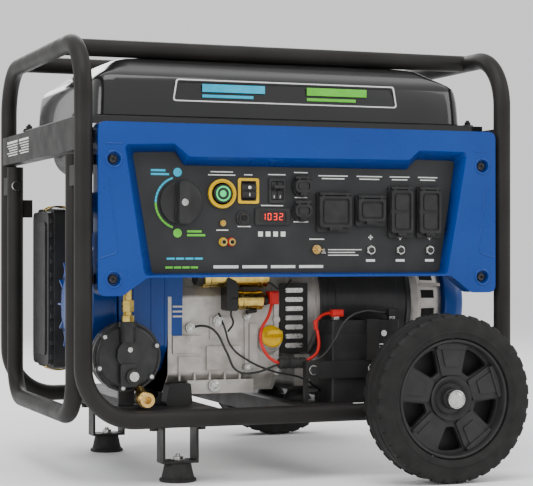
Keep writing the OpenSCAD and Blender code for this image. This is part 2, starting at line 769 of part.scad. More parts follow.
module start_button() {
    color([0.1, 0.1, 0.11])
    translate([start_at[0], 0, start_at[1]]) {
        along_y(plate_face - 7, plate_back + 6, start_d / 2);
        along_y(plate_face - 8, plate_face - 7, start_d / 2 - 2);
    }
}
module rocker_switch() {
    color([0.08, 0.08, 0.08])
    translate([rocker_at[0], plate_face + 3, rocker_at[1]])
        intersection() {
            translate([-9, -8, -12]) cube([18, 16, 24]);
            rotate([0, 90, 0]) cylinder(r = 12, h = 30, center = true);
        }
}
module twin_breaker() {
    color([0.1, 0.1, 0.1])
    translate([twin_at[0], plate_face + 2, twin_at[1]]) {
        rotate([0, 90, 0]) cylinder(r = 6, h = 17, center = true);
        for (s = [-1, 1])
            rotate([-24, 0, 0]) translate([s * 5 - 3, -17, -2.5]) cube([6, 14, 5]);
        rotate([-24, 0, 0]) translate([-8, -17, -2]) cube([16, 3, 4]);
    }
}
module display_module() {
    color([0.1, 0.1, 0.1]) {
        difference() {
            plate_at(display_at, 60, 27, 3, plate_face - 3, plate_face);
            plate_at(display_at, 47, 17, 1, plate_face - 4, plate_face - 1.5);
        }
        plate_at(display_at, 53, 21, 1, plate_face, plate_back + 22);
        difference() {
            plate_at(twin_at, 28, 40, 2, plate_face - 3, plate_face);
            plate_at(twin_at, 19, 22, 1, plate_face - 4, plate_face + 1);
        }
        difference() {
            plate_at(twin_at, 21.6, 33.6, 1, plate_face, plate_back + 30);
            plate_at(twin_at, 19, 22, 1, plate_face - 1, plate_back + 10);
        }
    }
}
module panel_jacks() {
    color([0.7, 0.55, 0.2]) {
        translate([lamp_at[0], 0, lamp_at[1]]) along_y(plate_face - 4, plate_face, 5);
        translate([socket_at[0], 0, socket_at[1]])
            difference() {
                along_y(plate_face - 4, plate_face, 8);
                along_y(plate_face - 5, plate_face - 1, 5);
            }
        for (i = [0, 1])
            translate([jack_at[0] + i * jack_step, 0, jack_at[1]])
                difference() {
                    along_y(plate_face - 6, plate_face, 5.6);
                    along_y(plate_face - 7, plate_face - 1, 2.2);
                }
    }
}

// Outline of an outlet or its cover, drawn in by inset, with a flat top at height cut
function lid_pts(size, inset, cut) =
    size == size_round
    ? let (r = size[0] / 2 - inset, a = asin(min(cut, r) / r))
      [for (k = [0 : 24]) r * [cos(180 - a + k * (180 + 2 * a) / 24), sin(180 - a + k * (180 + 2 * a) / 24)]]
    : rounded([[-size[0] / 2 + inset, -size[1] / 2 + inset], [size[0] / 2 - inset, -size[1] / 2 + inset],
        [size[0] / 2 - inset, cut], [-size[0] / 2 + inset, cut]], 4);

// Base of a flip-cover outlet: plate, two ears, hinge pin, barrel behind the plate
module flip_base(at, size, barrel_r) {
    top = size[1] / 2 - 3;
    y0 = plate_face - flip_base_t;
    difference() {
        translate([at[0], 0, at[1]]) slab(lid_pts(size, 0, size[1] / 2 - 0.1), y0, plate_face);
        translate([at[0], 0, at[1] - 2]) along_y(y0 - 1, y0 + 2, barrel_r);
    }
    translate([at[0], 0, at[1]]) {
        along_y(y0 + 2, plate_back + 24, barrel_r - 2);
        for (s = [-1, 1])
            translate([s * (size[0] / 2 - 10), 0, top])
                block(-2, 2, flip_pin_y - 3, y0 + 1, -4, 3);
        translate([0, flip_pin_y, top]) along_x(-size[0] / 2 + 9, size[0] / 2 - 9, flip_pin_r);
    }
}
module flip_cover(at, size) {
    top = size[1] / 2 - 3;
    y0 = plate_face - flip_base_t - slide_gap;
    neck = size[0] / 2 - 12 - slide_gap;
    translate([at[0], 0, at[1]])
        difference() {
            union() {
                slab(lid_pts(size, 1.5, top - 6.5), y0 - flip_cover_t, y0);
                slab(lid_pts(size, 6.5, top - 11), y0 - flip_cover_t - 2, y0 - flip_cover_t + 0.5);
                translate([0, flip_pin_y, top]) along_x(-neck, neck, flip_knuckle_r);
                block(-neck, neck, flip_pin_y - flip_knuckle_r, flip_pin_y + 1, top - 8, top);
                block(-6, 6, y0 - flip_cover_t, y0 - 1, -size[1] / 2 - 2, -size[1] / 2 + 4);
            }
            translate([0, flip_pin_y, top]) along_x(-size[0], size[0], flip_pin_r + run_gap);
        }
}
module receptacles() {
    color([0.13, 0.13, 0.13]) {
        for (p = round_at) flip_base(p, size_round, 12);
        flip_base(at_50a, size_50a, 25);
        flip_base(at_30a, size_30a, 20);
        for (p = duplex_at) flip_base(p, size_duplex, 16);
    }
}
module upper_round_cover() { color([0.1, 0.1, 0.1]) flip_cover(round_at[0], size_round); }
module lower_round_cover() { color([0.1, 0.1, 0.1]) flip_cover(round_at[1], size_round); }
module cover_50a() { color([0.1, 0.1, 0.1]) flip_cover(at_50a, size_50a); }
module cover_30a() { color([0.1, 0.1, 0.1]) flip_cover(at_30a, size_30a); }
module left_duplex_cover() { color([0.1, 0.1, 0.1]) flip_cover(duplex_at[0], size_duplex); }
module right_duplex_cover() { color([0.1, 0.1, 0.1]) flip_cover(duplex_at[1], size_duplex); }

button_r = 4.5;
module breaker_collars() {
    color([0.75, 0.75, 0.75])
    for (p = reset_at)
        translate([p[0], 0, p[1]])
            difference() {
                union() {
                    along_y(plate_face - 2, plate_face, 9);
                    hex_y(plate_face - 5, plate_face - 2, 14);
                    along_y(plate_face, plate_back + 20, 6);
                }
                along_y(plate_face - 6, plate_back + 14, button_r + 0.3);
            }
}
module reset_button(p) {
    translate([p[0], 0, p[1]]) along_y(plate_face - 8, plate_back + 8, button_r);
}
module reset_button_left() { color([0.15, 0.15, 0.15]) reset_button(reset_at[0]); }
module reset_button_middle() { color([0.15, 0.15, 0.15]) reset_button(reset_at[1]); }
module reset_button_right() { color([0.15, 0.15, 0.15]) reset_button(reset_at[2]); }
module ground_terminal() {
    color([0.8, 0.7, 0.4])
    translate([ground_at[0], 0, ground_at[1]]) {
        hex_y(plate_face - 5, plate_face, 11);
        along_y(plate_face - 9, plate_face - 5, 3);
        along_y(plate_face - 11, plate_face - 9, 6);
    }
}

// ---------- engine ----------

module at_shaft() { translate([0, shaft_y, shaft_z]) children(); }
module crankcase() {
    yz = rounded([[case_y0, case_z0 + 30], [case_y0 + 30, case_z0], [case_y1 - 20, case_z0],
        [case_y1, case_z0 + 40], [case_y1, case_z1], [case_y0 + 44, case_z1], [case_y0, case_z1 - 56]], 8);
    w = case_wall;
    yz_in = rounded([[case_y0 + w, case_z0 + 34], [case_y0 + 34, case_z0 + w], [case_y1 - 24, case_z0 + w],
        [case_y1 - w, case_z0 + 44], [case_y1 - w, case_z1 - w], [case_y0 + 50, case_z1 - w],
        [case_y0 + w, case_z1 - 62]], 6);
    color([0.72, 0.7, 0.68])
    difference() {
        union() {
            slab_x(yz, case_x0, case_x1);
            block(-171, -57, case_y0 - 4, case_y1, case_z0 - 1, case_z0 + 22);
            translate([oil_at[0], oil_at[1], oil_at[2]]) rotate([90 - oil_tilt, 0, 0])
                translate([0, 0, -30]) cylinder(r = 19, h = 34);
            at_shaft() along_x(case_x1, bell_x1 - 8, alt_r - 4);
            block(-6, 44, bell_face, shaft_y - 40, 200, 316);
            block(beam_right_x - 14, beam_right_x + 14, shaft_y - 40, shaft_y + 40,
                case_z0 + 5, shaft_z - alt_r + 16);
        }
        slab_x(yz_in, case_x0 + w, case_x1 - w);
        at_shaft() along_x(case_x0 - 1, bell_x1, shaft_r + run_gap);
        at_shaft() along_x(case_x1 + w, bell_x1, alt_r - 12);
        at_shaft() block(case_x1 + 14, bell_x1 - 38, -alt_r, -30, -50, 40);
        translate([oil_at[0], oil_at[1], oil_at[2]]) rotate([90 - oil_tilt, 0, 0])
            translate([0, 0, -40]) cylinder(r = 9, h = 60);
    }
}
oil_at = [-28, -197, 226];
oil_tilt = 24;
module cylinder_head() {
    color([0.68, 0.67, 0.65]) {
        difference() {
            block(-170, -50, case_y1, 150, 250, 350);
            translate([-110, 0, 300]) along_y(case_y1 - 1, 140, 44);
        }
        for (i = [0 : 6])
            block(-180, -40, 44 + i * 14, 48 + i * 14, 242, 358);
        block(-160, -60, 150, 186, 258, 342);
        translate([-110, 168, 342]) cylinder(r = 8, h = 34);
    }
}
// Sheet scroll around the flywheel, closed against the crankcase
module blower_shroud() {
    yz = rounded([[-191, 216], [-150, 172], [30, 172], [46, 200], [46, 400], [-140, 400], [-191, 360]], 16);
    yz_in = rounded([[-189, 217], [-149, 174], [29, 174], [44, 201], [44, 398],
        [-139, 398], [-189, 359]], 14);
    color([0.06, 0.24, 0.58])
    difference() {
        union() {
            slab_x(yz, shroud_x0, shroud_x1);
            block(shroud_x1 - 0.5, case_x0 + 26, case_y0 - 2.5, case_y0, 236, 372);
            block(shroud_x1 - 3, shroud_x1 - 0.5, case_y0 - 2.5, case_y0 + 1, 236, 372);
        }
        slab_x(yz_in, shroud_x0 + 2, shroud_x1 + 1);
        at_shaft() along_x(shroud_x0 - 1, shroud_x0 + 3, recoil_d / 2 - 8);
    }
}
pull_at = [-160, 350];
module recoil_cover() {
    r = recoil_d / 2;
    color([0.06, 0.26, 0.62])
    at_shaft() difference() {
        union() {
            along_x(recoil_x + 14, shroud_x0, r);
            translate([recoil_x + 14, 0, 0]) rotate([0, -90, 0]) cylinder(r1 = r, r2 = r - 16, h = 8);
            along_x(recoil_x, recoil_x + 8, r - 40);
            translate([0, pull_at[0] - shaft_y, pull_at[1] - shaft_z])
                along_x(recoil_x + 10, recoil_x + 40, 12);
        }
        along_x(recoil_x + 16, shroud_x0 + 1, r - 3);
        for (k = [0 : 23])
            rotate([k * 15, 0, 0]) translate([0, 0, r - 20]) along_x(recoil_x - 2, recoil_x + 20, 3);
    }
}
module recoil_handle() {
    color([0.1, 0.1, 0.1])
    translate([recoil_x + 10, pull_at[0], pull_at[1]]) {
        translate([-14, 0, -42]) cylinder(r = 9, h = 84);
        for (z = [-42, 42]) translate([-14, 0, z]) sphere(r = 9);
        along_x(-8, -slide_gap, 7);
    }
}
// Crankshaft, flywheel with its fan, and the alternator rotor: one turning piece
module crank_rotor() {
    color([0.6, 0.6, 0.62])
    at_shaft() {
        along_x(-300, end_x - 2, shaft_r);
        along_x(-262, -238, 84);
        for (k = [0 : 11])
            rotate([k * 30, 0, 0]) block(-276, -262, -2, 2, 50, 82);
        along_x(-300, -262, 30);
        along_x(-130, -114, 46);
        along_x(-96, -80, 46);
        translate([0, 0, 30]) along_x(-114, -96, 14);
        along_x(bell_x1 + 14, alt_x1 - 14, rotor_r);
    }
}
module starter_motor() {
    color([0.75, 0.62, 0.25]) {
        translate([0, -207, 289]) along_x(-93, -47, 16);
        translate([0, -207, 289]) along_x(-104, -93, 12);
        translate([0, -207, 289]) along_x(-47, -38, 9);
        translate([0, -198, 331]) along_x(-150, -36, 22);
        translate([0, -198, 331]) along_x(-160, -150, 17);
        block(-104, -96, -219, case_y0, 276, 320);
    }
}
module oil_cap() {
    color([0.95, 0.75, 0.05])
    translate([oil_at[0], oil_at[1], oil_at[2]]) rotate([90 - oil_tilt, 0, 0]) {
        translate([0, 0, 4 + slide_gap]) cylinder(r = 19, h = 6);
        translate([0, 0, 10 + slide_gap]) cylinder(r1 = 18, r2 = 14, h = 3);
        translate([-17, -4, 10]) cube([34, 8, 16]);
        translate([0, 0, -34]) cylinder(r = 8.4, h = 40);
        translate([0, 0, -74]) cylinder(r = 2, h = 42);
    }
}
air = [[-342, -250], [62, 192], [164, 444]];
module air_cleaner() {
    color([0.09, 0.09, 0.09]) {
        slab_x(rounded([[air[1][0], air[2][0]], [air[1][1], air[2][0]],
            [air[1][1], air[2][1]], [air[1][0], air[2][1]]], 18),
            air[0][0], air[0][0] + 34);
        slab_x(rounded([[air[1][0] + 4, air[2][0] + 4], [air[1][1] - 4, air[2][0] + 4],
            [air[1][1] - 4, air[2][1] - 4], [air[1][0] + 4, air[2][1] - 4]], 16), air[0][0] + 34, air[0][1]);
    }
    color([0.8, 0.68, 0.35])
    for (s = [-1, 1])
        translate([air[0][0] + 34, (air[1][0] + air[1][1]) / 2, s < 0 ? air[2][0] : air[2][1]])
            difference() {
                block(-24, 24, -16, 16, s < 0 ? -6 : -4, s < 0 ? 4 : 6);
                block(-22, 22, -14, 14, -7, 7);
                block(-25, 25, -17, 17, s < 0 ? 0 : -5, s < 0 ? 5 : 0);
            }
}
module carburettor() {
    color([0.6, 0.6, 0.6]) {
        translate([0, 110, 320]) along_x(air[0][1], -216, 22);
        block(-216, -182, 86, 134, 290, 352);
        translate([-199, 110, 262]) cylinder(r = 17, h = 28);
    }
    color([0.08, 0.08, 0.08]) lead(gas_hose, 14, 10);
}
module muffler() {
    z = 452;
    color([0.55, 0.54, 0.52]) {
        translate([0, 130, z])
            difference() {
                union() {
                    along_x(10, 270, 58);
                    for (x = [10, 266]) along_x(x, x + 4, 61);
                    along_x(270, 290, 14);
                }
                along_x(12, 268, 56);
                along_x(267, 291, 12);
            }
        translate([0, 110, 322]) along_x(-40, 40, 13);
        translate([40, 110, 322]) sphere(r = 13);
        translate([40, 110, 322]) cylinder(r = 13, h = 80);
    }
}
module alternator_body() {
    color([0.1, 0.1, 0.1])
    at_shaft() difference() {
        union() {
            along_x(bell_x1 - 8, alt_x1, alt_r);
            along_x(bell_x1 - 8, bell_x1 - 4, alt_r + 3);
        }
        along_x(bell_x1 - 9, alt_x1 + 1, rotor_r + 2);
    }
}
module end_bell() {
    color([0.66, 0.65, 0.62])
    at_shaft() difference() {
        union() {
            along_x(alt_x1, alt_x1 + 26, alt_r + 4);
            along_x(alt_x1 + 26, end_x, alt_r - 12);
            for (a = [45, 135, 225, 315])
                rotate([a, 0, 0]) translate([0, 0, alt_r]) block(alt_x1, end_x, -12, 12, -16, 4);
        }
        along_x(alt_x1 - 1, alt_x1 + 20, alt_r - 6);
        along_x(alt_x1 + 12, end_x - 14, alt_r - 22);
        along_x(alt_x1, end_x + 1, shaft_r + run_gap);
    }
}
module end_cover() {
    color([0.06, 0.25, 0.6])
    at_shaft() difference() {
        union() {
            along_x(end_x, end_x + cover_l - 8, alt_r + 2);
            translate([end_x + cover_l - 8, 0, 0]) rotate([0, 90, 0])
                cylinder(r1 = alt_r + 2, r2 = alt_r - 6, h = 8);
        }
        along_x(end_x - 1, end_x + cover_l - 3, alt_r - 8);
        for (z = [-3 : 3])
            block(end_x + cover_l - 6, end_x + cover_l + 1, -50, 50, z * 18 - 3, z * 18 + 3);
    }
}
bell_face = shaft_y - alt_r + 3;
module louvre_plate() {
    y = bell_face;
    color([0.75, 0.76, 0.76]) {
        block(-6, 44, y - 1.4, y, 200, 316);
        for (i = [0 : 6])
            intersection() {
                translate([4, y - 1, 218 + i * 14]) along_x(0, 30, 4.5);
                block(-6, 44, y - 10, y - 1, 200, 320);
            }
    }
}
module engine_mounts() {
    color([0.1, 0.1, 0.1])
    for (x = [beam_left_x + 6, beam_right_x], y = [shaft_y - 62, shaft_y + 62]) {
        translate([x, y, beam_top]) cylinder(r1 = 24, r2 = 17, h = 12);
        translate([x, y, beam_top + 12]) cylinder(r = 17, h = case_z0 - beam_top - 12);
    }
    color([0.12, 0.12, 0.12])
    block(beam_right_x - 26, beam_right_x + 26, shaft_y - 90, shaft_y + 90, case_z0, case_z0 + 5);
}

// ---------- battery ----------

module battery() {
    x1 = battery_x + battery_l;
    color([0.09, 0.09, 0.1]) {
        slab_x(rounded([[battery_y, battery_z], [battery_y + battery_w, battery_z],
            [battery_y + battery_w, battery_z + battery_h],
            [battery_y, battery_z + battery_h]], 3), battery_x, x1);
    }
    color([0.8, 0.8, 0.8])
    for (x = [battery_x + 12, x1 - 12])
        block(x - 5, x + 5, battery_y + 8, battery_y + 18, battery_z + battery_h, battery_z + battery_h + 6);
}
module battery_clamp() {
    y1 = battery_y - slide_gap;
    y0 = y1 - 4;
    z = 175;
    color([0.25, 0.25, 0.26]) {
        block(12, 196, y0, y1, z - 14, z + 14);
        block(120, 142, y0 - 3, y1, z + 14, battery_top + 2);
        block(120, 142, y1, battery_y + battery_w, battery_top + 0.1, battery_top + 2);
        block(12, 18, y1, y1 + 9, beam_top, z + 14);
        translate([26, 0, z]) hex_y(y0 - 6, y0, 12);
    }
}
module battery_leads() {
    color([0.8, 0.1, 0.08]) {
        lead(red_lead, lead_d);
        block(-38, -22, -222, -200, 282, 304);
        block(64, 84, -245, -229, battery_top + 6, battery_top + 18);
    }
    color([0.05, 0.05, 0.05]) {
        lead(black_lead, lead_d - 1.5);
        translate([0, -231, 186]) along_x(-26, 20, 9);
        block(166, 186, -245, -229, battery_top + 6, battery_top + 18);
    }
}

// ---------- gas regulator ----------

reg_at = [-281, -218, 202];
reg_r = 56;
inlet_r = 6;
module gas_regulator() {
    y = reg_at[1];
    color([0.13, 0.13, 0.13])
    translate([reg_at[0], 0, reg_at[2]]) {
        along_y(y - 4, y + 16, reg_r);
        along_y(y - 10, y - 4, reg_r - 4);
        along_y(y + 16, y + 22, reg_r - 14);
        block(-16, 12, y - 24, y - 4, -48, 34);
        translate([-2, y - 14, 0]) cylinder(r = 15, h = 56);
        translate([4, 0, -30]) along_y(y - 30, y - 20, 12);
        block(-30, 40, y - 20, y + 16, -reg_at[2] + beam_top + 1, -46);
    }
}
module regulator_fittings() {
    y = reg_at[1] - 14;
    color([0.82, 0.68, 0.35]) {
        translate([reg_at[0] - 2, y, reg_at[2] + 56]) {
            hex_z(0, 10, 20);
            translate([0, 0, 10]) cylinder(r = 7, h = 6);
            translate([0, 0, 16]) hex_z(0, 18, 17);
            translate([0, 0, 34]) cylinder(r = 7.5, h = 110);
        }
        translate([reg_at[0] + 4, 0, reg_at[2] - 30]) along_y(y - 19, y - 16, 8.5);
        translate([reg_at[0] + 20, 0, reg_at[2] - 66])
            difference() {
                union() {
                    hex_y(y - 24, y - 6.01, 22);
                    along_y(y - 38, y - 24, 12.5);
                }
                along_y(y - 39, y - 14, inlet_r);
            }
    }
}

end_hoops();
long_rails();
cross_members();
frame_brackets();
stub_axles();
rubber_feet();
fold_handle();
front_tyre();
front_rim();
rear_tyre();
rear_rim();
fuel_tank();
fuel_cap();
fuel_gauge();
tank_mounts();
vapour_canister();
panel_fascia();
control_plate();
panel_box();
panel_screws();
selector_knob();
switch_bezels();
start_button();
rocker_switch();
twin_breaker();
display_module();
panel_jacks();
receptacles();
upper_round_cover();
lower_round_cover();
cover_50a();
cover_30a();
left_duplex_cover();
right_duplex_cover();
breaker_collars();
reset_button_left();
reset_button_middle();
reset_button_right();
ground_terminal();
crankcase();
cylinder_head();
blower_shroud();
recoil_cover();
recoil_handle();
crank_rotor();
starter_motor();
oil_cap();
air_cleaner();
carburettor();
muffler();
alternator_body();
end_bell();
end_cover();
louvre_plate();
engine_mounts();
battery();
battery_clamp();
battery_leads();
gas_regulator();
regulator_fittings();
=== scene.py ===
import math

import bmesh
import bpy
from mathutils import Matrix, Vector


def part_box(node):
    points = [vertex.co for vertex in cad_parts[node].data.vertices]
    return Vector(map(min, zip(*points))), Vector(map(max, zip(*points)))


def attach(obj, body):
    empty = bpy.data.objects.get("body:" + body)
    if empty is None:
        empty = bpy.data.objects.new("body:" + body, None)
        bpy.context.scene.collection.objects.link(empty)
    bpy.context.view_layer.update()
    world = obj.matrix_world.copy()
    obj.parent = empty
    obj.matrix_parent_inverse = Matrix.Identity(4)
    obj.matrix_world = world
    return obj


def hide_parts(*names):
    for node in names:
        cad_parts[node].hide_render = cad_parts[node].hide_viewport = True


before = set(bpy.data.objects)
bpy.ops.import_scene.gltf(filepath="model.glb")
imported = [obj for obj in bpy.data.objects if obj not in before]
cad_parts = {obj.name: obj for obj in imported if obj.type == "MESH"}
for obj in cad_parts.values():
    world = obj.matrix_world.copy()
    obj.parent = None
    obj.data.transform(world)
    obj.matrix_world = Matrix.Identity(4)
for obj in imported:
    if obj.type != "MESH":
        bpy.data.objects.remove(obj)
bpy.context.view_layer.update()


# ---------------------------------------------------------------- frame tubes
# The cage is bent round steel tube, welded at every joint and powder coated in a
# satin brown-black. The coat has a fine orange-peel skin and soft changes of tone.
class Shade:
    """A value in a material. Arithmetic on it adds Math nodes, node() adds any other kind."""

    def __init__(self, tree, socket):
        self.tree = tree
        self.socket = socket

    def node(self, kind, settings, sockets, out=0):
        made = self.tree.nodes.new(kind)
        for name, value in settings.items():
            setattr(made, name, value)
        for name, value in sockets.items():
            if isinstance(value, Shade):
                self.tree.links.new(value.socket, made.inputs[name])
            else:
                made.inputs[name].default_value = value
        return Shade(self.tree, made.outputs[out])

    def maths(self, operation, first, second=0.0):
        return self.node("ShaderNodeMath", {"operation": operation}, {0: first, 1: second})

    def __add__(self, other):
        return self.maths("ADD", self, other)

    __radd__ = __add__

    def __sub__(self, other):
        return self.maths("SUBTRACT", self, other)

    def __rsub__(self, other):
        return self.maths("SUBTRACT", other, self)

    def __mul__(self, other):
        return self.maths("MULTIPLY", self, other)

    __rmul__ = __mul__

    def cloud(self, size, detail=3.0):
        """Noise whose patches are about size metres across."""
        return self.node("ShaderNodeTexNoise", {},
            {"Vector": self, "Scale": 1 / size, "Detail": detail})

    def spread(self, low, high, start=0.35, end=0.65):
        """This value, from start to end, laid over low to high."""
        return self.node("ShaderNodeMapRange", {}, {0: self, 1: start, 2: end, 3: low, 4: high})

    def tint(self, low, high):
        """The colour low where this value is 0, and high where it is 1."""
        low = low if isinstance(low, Shade) else (*low, 1)
        high = high if isinstance(high, Shade) else (*high, 1)
        return self.node("ShaderNodeMix", {"data_type": "RGBA"}, {0: self, 6: low, 7: high}, out=2)

    def stretched(self, x, y, z):
        """These coordinates, scaled along each axis."""
        return self.node("ShaderNodeMapping", {}, {"Vector": self, "Scale": (x, y, z)})

    def part(self, axis):
        """One coordinate of these: 0 for X, 1 for Y, 2 for Z."""
        return self.node("ShaderNodeSeparateXYZ", {}, {0: self}, out=axis)


def finish_of(name, dark, light, patch, rough, grain, height, metal=0.0, coat=0.0, shine=0.28,
        pattern=None):
    """A procedural finish: two tones in patches, roughness that varies, and a fine grain.

    patch and grain are sizes in metres, height is the grain's depth in metres, and
    pattern may take the coordinates, colour and height on, and give them back changed."""
    material = bpy.data.materials.new(name)
    material.use_nodes = True
    tree = material.node_tree
    shader = tree.nodes["Principled BSDF"]
    place = Shade(tree, tree.nodes.new("ShaderNodeTexCoord").outputs["Object"])
    mottle = place.cloud(patch, 4.0)
    speckle = place.cloud(grain, 2.0)
    colour = (mottle * 0.75 + speckle * 0.25).spread(0, 1).tint(dark, light)
    relief = speckle
    gloss = place.cloud(patch * 0.6, 5.0).spread(rough[0], rough[1], 0.3, 0.7)
    if pattern:
        colour, relief, gloss = pattern(place, colour, relief, gloss)
    bump = place.node("ShaderNodeBump", {}, {"Strength": 1.0, "Distance": height, "Height": relief})
    tree.links.new(colour.socket, shader.inputs["Base Color"])
    tree.links.new(gloss.socket, shader.inputs["Roughness"])
    tree.links.new(bump.socket, shader.inputs["Normal"])
    set_input(material, "Metallic", metal)
    set_input(material, "Coat Weight", coat)
    set_input(material, "Specular IOR Level", 0.5 if metal > 0.5 else shine)
    return material


def set_input(material, name, value):
    """Sets one input of a material's shader."""
    material.node_tree.nodes["Principled BSDF"].inputs[name].default_value = value


def give(node, material):
    """Gives a CAD node that stays in view its finish."""
    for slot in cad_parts[node].material_slots:
        slot.material = material


def seat(node):
    """A CAD node's lowest and highest corners, in millimetres."""
    low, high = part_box(node)
    return low * 1000, high * 1000


def rod(bm, start, end, radius, tip=None, sides=32):
    """Adds a round bar or cone between two points."""
    start, end = Vector(start), Vector(end)
    turn = (end - start).to_track_quat("Z", "Y").to_matrix().to_4x4()
    bmesh.ops.create_cone(
        bm, cap_ends=True, segments=sides, radius1=radius, radius2=radius if tip is None else tip,
        depth=(end - start).length, matrix=Matrix.Translation((start + end) / 2) @ turn)


def brick(bm, low, high, turn=None):
    """Adds a box between two corners, turned about its middle if a turn is given."""
    low, high = Vector(low), Vector(high)
    size = (*(high - low), 1)
    place = Matrix.Translation((low + high) / 2) @ (turn or Matrix()) @ Matrix.Diagonal(size)
    return bmesh.ops.create_cube(bm, size=1, matrix=place)["verts"]


def verts_of(items):
    """The vertices among what a mesh operator gives back."""
    return [item for item in items if isinstance(item, bmesh.types.BMVert)]


def lathe(bm, profile, centre, axis, sides=64, closed=False):
    """Turns a profile of (distance along the axis, radius) points round the axis."""
    centre, axis = Vector(centre), Vector(axis)
    out = axis.orthogonal().normalized()
    verts = [bm.verts.new(centre + axis * along + out * radius) for along, radius in profile]
    edges = [bm.edges.new(pair) for pair in zip(verts, verts[1:])]
    if closed:
        edges.append(bm.edges.new((verts[-1], verts[0])))
    before = set(bm.verts) - set(verts)
    bmesh.ops.spin(bm, geom=verts + edges, cent=centre, axis=axis, angle=2 * math.pi, steps=sides,
        use_merge=True)
    bmesh.ops.remove_doubles(bm, verts=[v for v in bm.verts if v not in before], dist=0.0005)


def make_piece(name, bm, material, body, edge=0.0, stands_for=(), crease=35):
    """Finishes a mesh drawn in millimetres: smooth faces, eased edges, and the body it rides on."""
    bmesh.ops.recalc_face_normals(bm, faces=bm.faces)
    bmesh.ops.scale(bm, vec=(0.001, 0.001, 0.001), verts=bm.verts)
    for face in bm.faces:
        face.smooth = True
    if not edge:
        for line in bm.edges:
            line.smooth = len(line.link_faces) == 2 and line.calc_face_angle(0) < math.radians(crease)
    mesh = bpy.data.meshes.new(name)
    bm.to_mesh(mesh)
    bm.free()
    mesh.materials.append(material)
    piece = bpy.data.objects.new(name, mesh)
    bpy.context.scene.collection.objects.link(piece)
    if edge:
        ease = piece.modifiers.new("eased_edges", "BEVEL")
        ease.width = edge / 1000
        ease.segments = 2
        ease.angle_limit = math.radians(crease)
        ease.harden_normals = True
    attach(piece, body)
    if stands_for:
        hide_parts(*stands_for)
    return piece


powder_coat = finish_of("powder_coat", (0.013, 0.012, 0.0115), (0.021, 0.0195, 0.0185), 0.09,
    (0.4, 0.54), 0.0011, 0.00012, shine=0.16)
for node in ("end_hoops", "long_rails", "fold_handle"):
    give(node, powder_coat)

hoop_high = seat("end_hoops")[1]
tube = (hoop_high.z - seat("long_rails")[1].z) + 28.6
tube_r = tube / 2
weld_x = hoop_high.x - tube
welds = bmesh.new()
for side in (-1, 1):
    for rail_y in (-140, 140):
        ring = [(0.9 * math.cos(a * math.pi / 4), tube_r - 0.6 + 0.9 * math.sin(a * math.pi / 4))
            for a in range(8)]
        lathe(welds, ring, (side * (weld_x + 1.5), rail_y, hoop_high.z - tube_r), (1, 0, 0), 48,
            closed=True)
make_piece("weld_beads", welds, powder_coat, "frame")

# ---------------------------------------------------------------- cross members and brackets
# Folded sheet steel: two channel beams under the engine, a plate across each hoop, and
# the foot, axle and handle brackets. All carry the same coat, a little flatter.
sheet_coat = finish_of("sheet_coat", (0.012, 0.0112, 0.011), (0.019, 0.018, 0.0175), 0.06,
    (0.42, 0.58), 0.0013, 0.00012)
give("cross_members", sheet_coat)
give("frame_brackets", sheet_coat)

print_and_highlight_white = finish_of(
    "print_and_highlight_white", (0.62, 0.62, 0.6), (0.74, 0.74, 0.72), 0.02, (0.5, 0.6), 0.0006, 0.00002)
plate_low, plate_high = seat("cross_members")
notices = bmesh.new()
plate_top = plate_high.z
for start, length in ((50, 74), (138, 84)):
    brick(notices, (plate_low.x - 0.25, start, plate_top - 14),
        (plate_low.x + 0.3, start + length, plate_top - 10))
    for row in range(5):
        z = plate_top - 18.5 - row * 4.4
        brick(notices, (plate_low.x - 0.25, start, z),
            (plate_low.x + 0.3, start + length - row % 3 * 9, z + 1.9))
make_piece("plate_notice", notices, print_and_highlight_white, "frame")

# ---------------------------------------------------------------- rubber feet
# Two moulded rubber feet under the left beam, each a fluted cone with a wide sole,
# held to its strap by one bolt.
soft_rubber = finish_of(
    "soft_rubber", (0.012, 0.012, 0.012), (0.028, 0.027, 0.026), 0.02, (0.62, 0.8), 0.0009, 0.00015)
bright_zinc_and_highlight = finish_of("bright_zinc_and_highlight", (0.42, 0.42, 0.4), (0.62, 0.62, 0.6), 0.006, (0.22, 0.4),
    0.0008, 0.00004, metal=1.0)
foot_low, foot_high = seat("rubber_feet")
foot_x = (foot_low.x + foot_high.x) / 2
foot_r = (foot_high.x - foot_low.x) / 2
feet = bmesh.new()
foot_nuts = bmesh.new()
for side in (-1, 1):
    middle = Vector((foot_x, side * (foot_high.y - foot_r), 0))
    lathe(feet, [(0, 9), (0, foot_r - 2), (1, foot_r), (4, foot_r), (5.5, foot_r - 2),
        (7, foot_r - 4), (16, foot_r - 6), (26, foot_r - 8), (29, foot_r - 8.6), (30, foot_r - 10),
        (30, 5), (6, 5), (6, 9)], middle, (0, 0, 1), 64, closed=True)
    for flute in range(16):
        turn = flute * math.pi / 8
        foot = middle + Vector((math.cos(turn), math.sin(turn), 0)) * (foot_r - 5.2)
        top = middle + Vector((math.cos(turn), math.sin(turn), 0)) * (foot_r - 9.6)
        rod(feet, foot + Vector((0, 0, 7)), top + Vector((0, 0, 27)), 1.6, 1.4, 8)
    rod(foot_nuts, middle + Vector((0, 0, 34)), middle + Vector((0, 0, 40)), 8.8, sides=6)
    rod(foot_nuts, middle + Vector((0, 0, 33.9)), middle + Vector((0, 0, 35.2)), 11)
    rod(foot_nuts, middle + Vector((0, 0, 40)), middle + Vector((0, 0, 44)), 4.2, 3.6)
make_piece("foot_pads", feet, soft_rubber, "frame", edge=0.6, stands_for=("rubber_feet",))
make_piece("foot_nuts", foot_nuts, bright_zinc_and_highlight, "frame", edge=0.5)

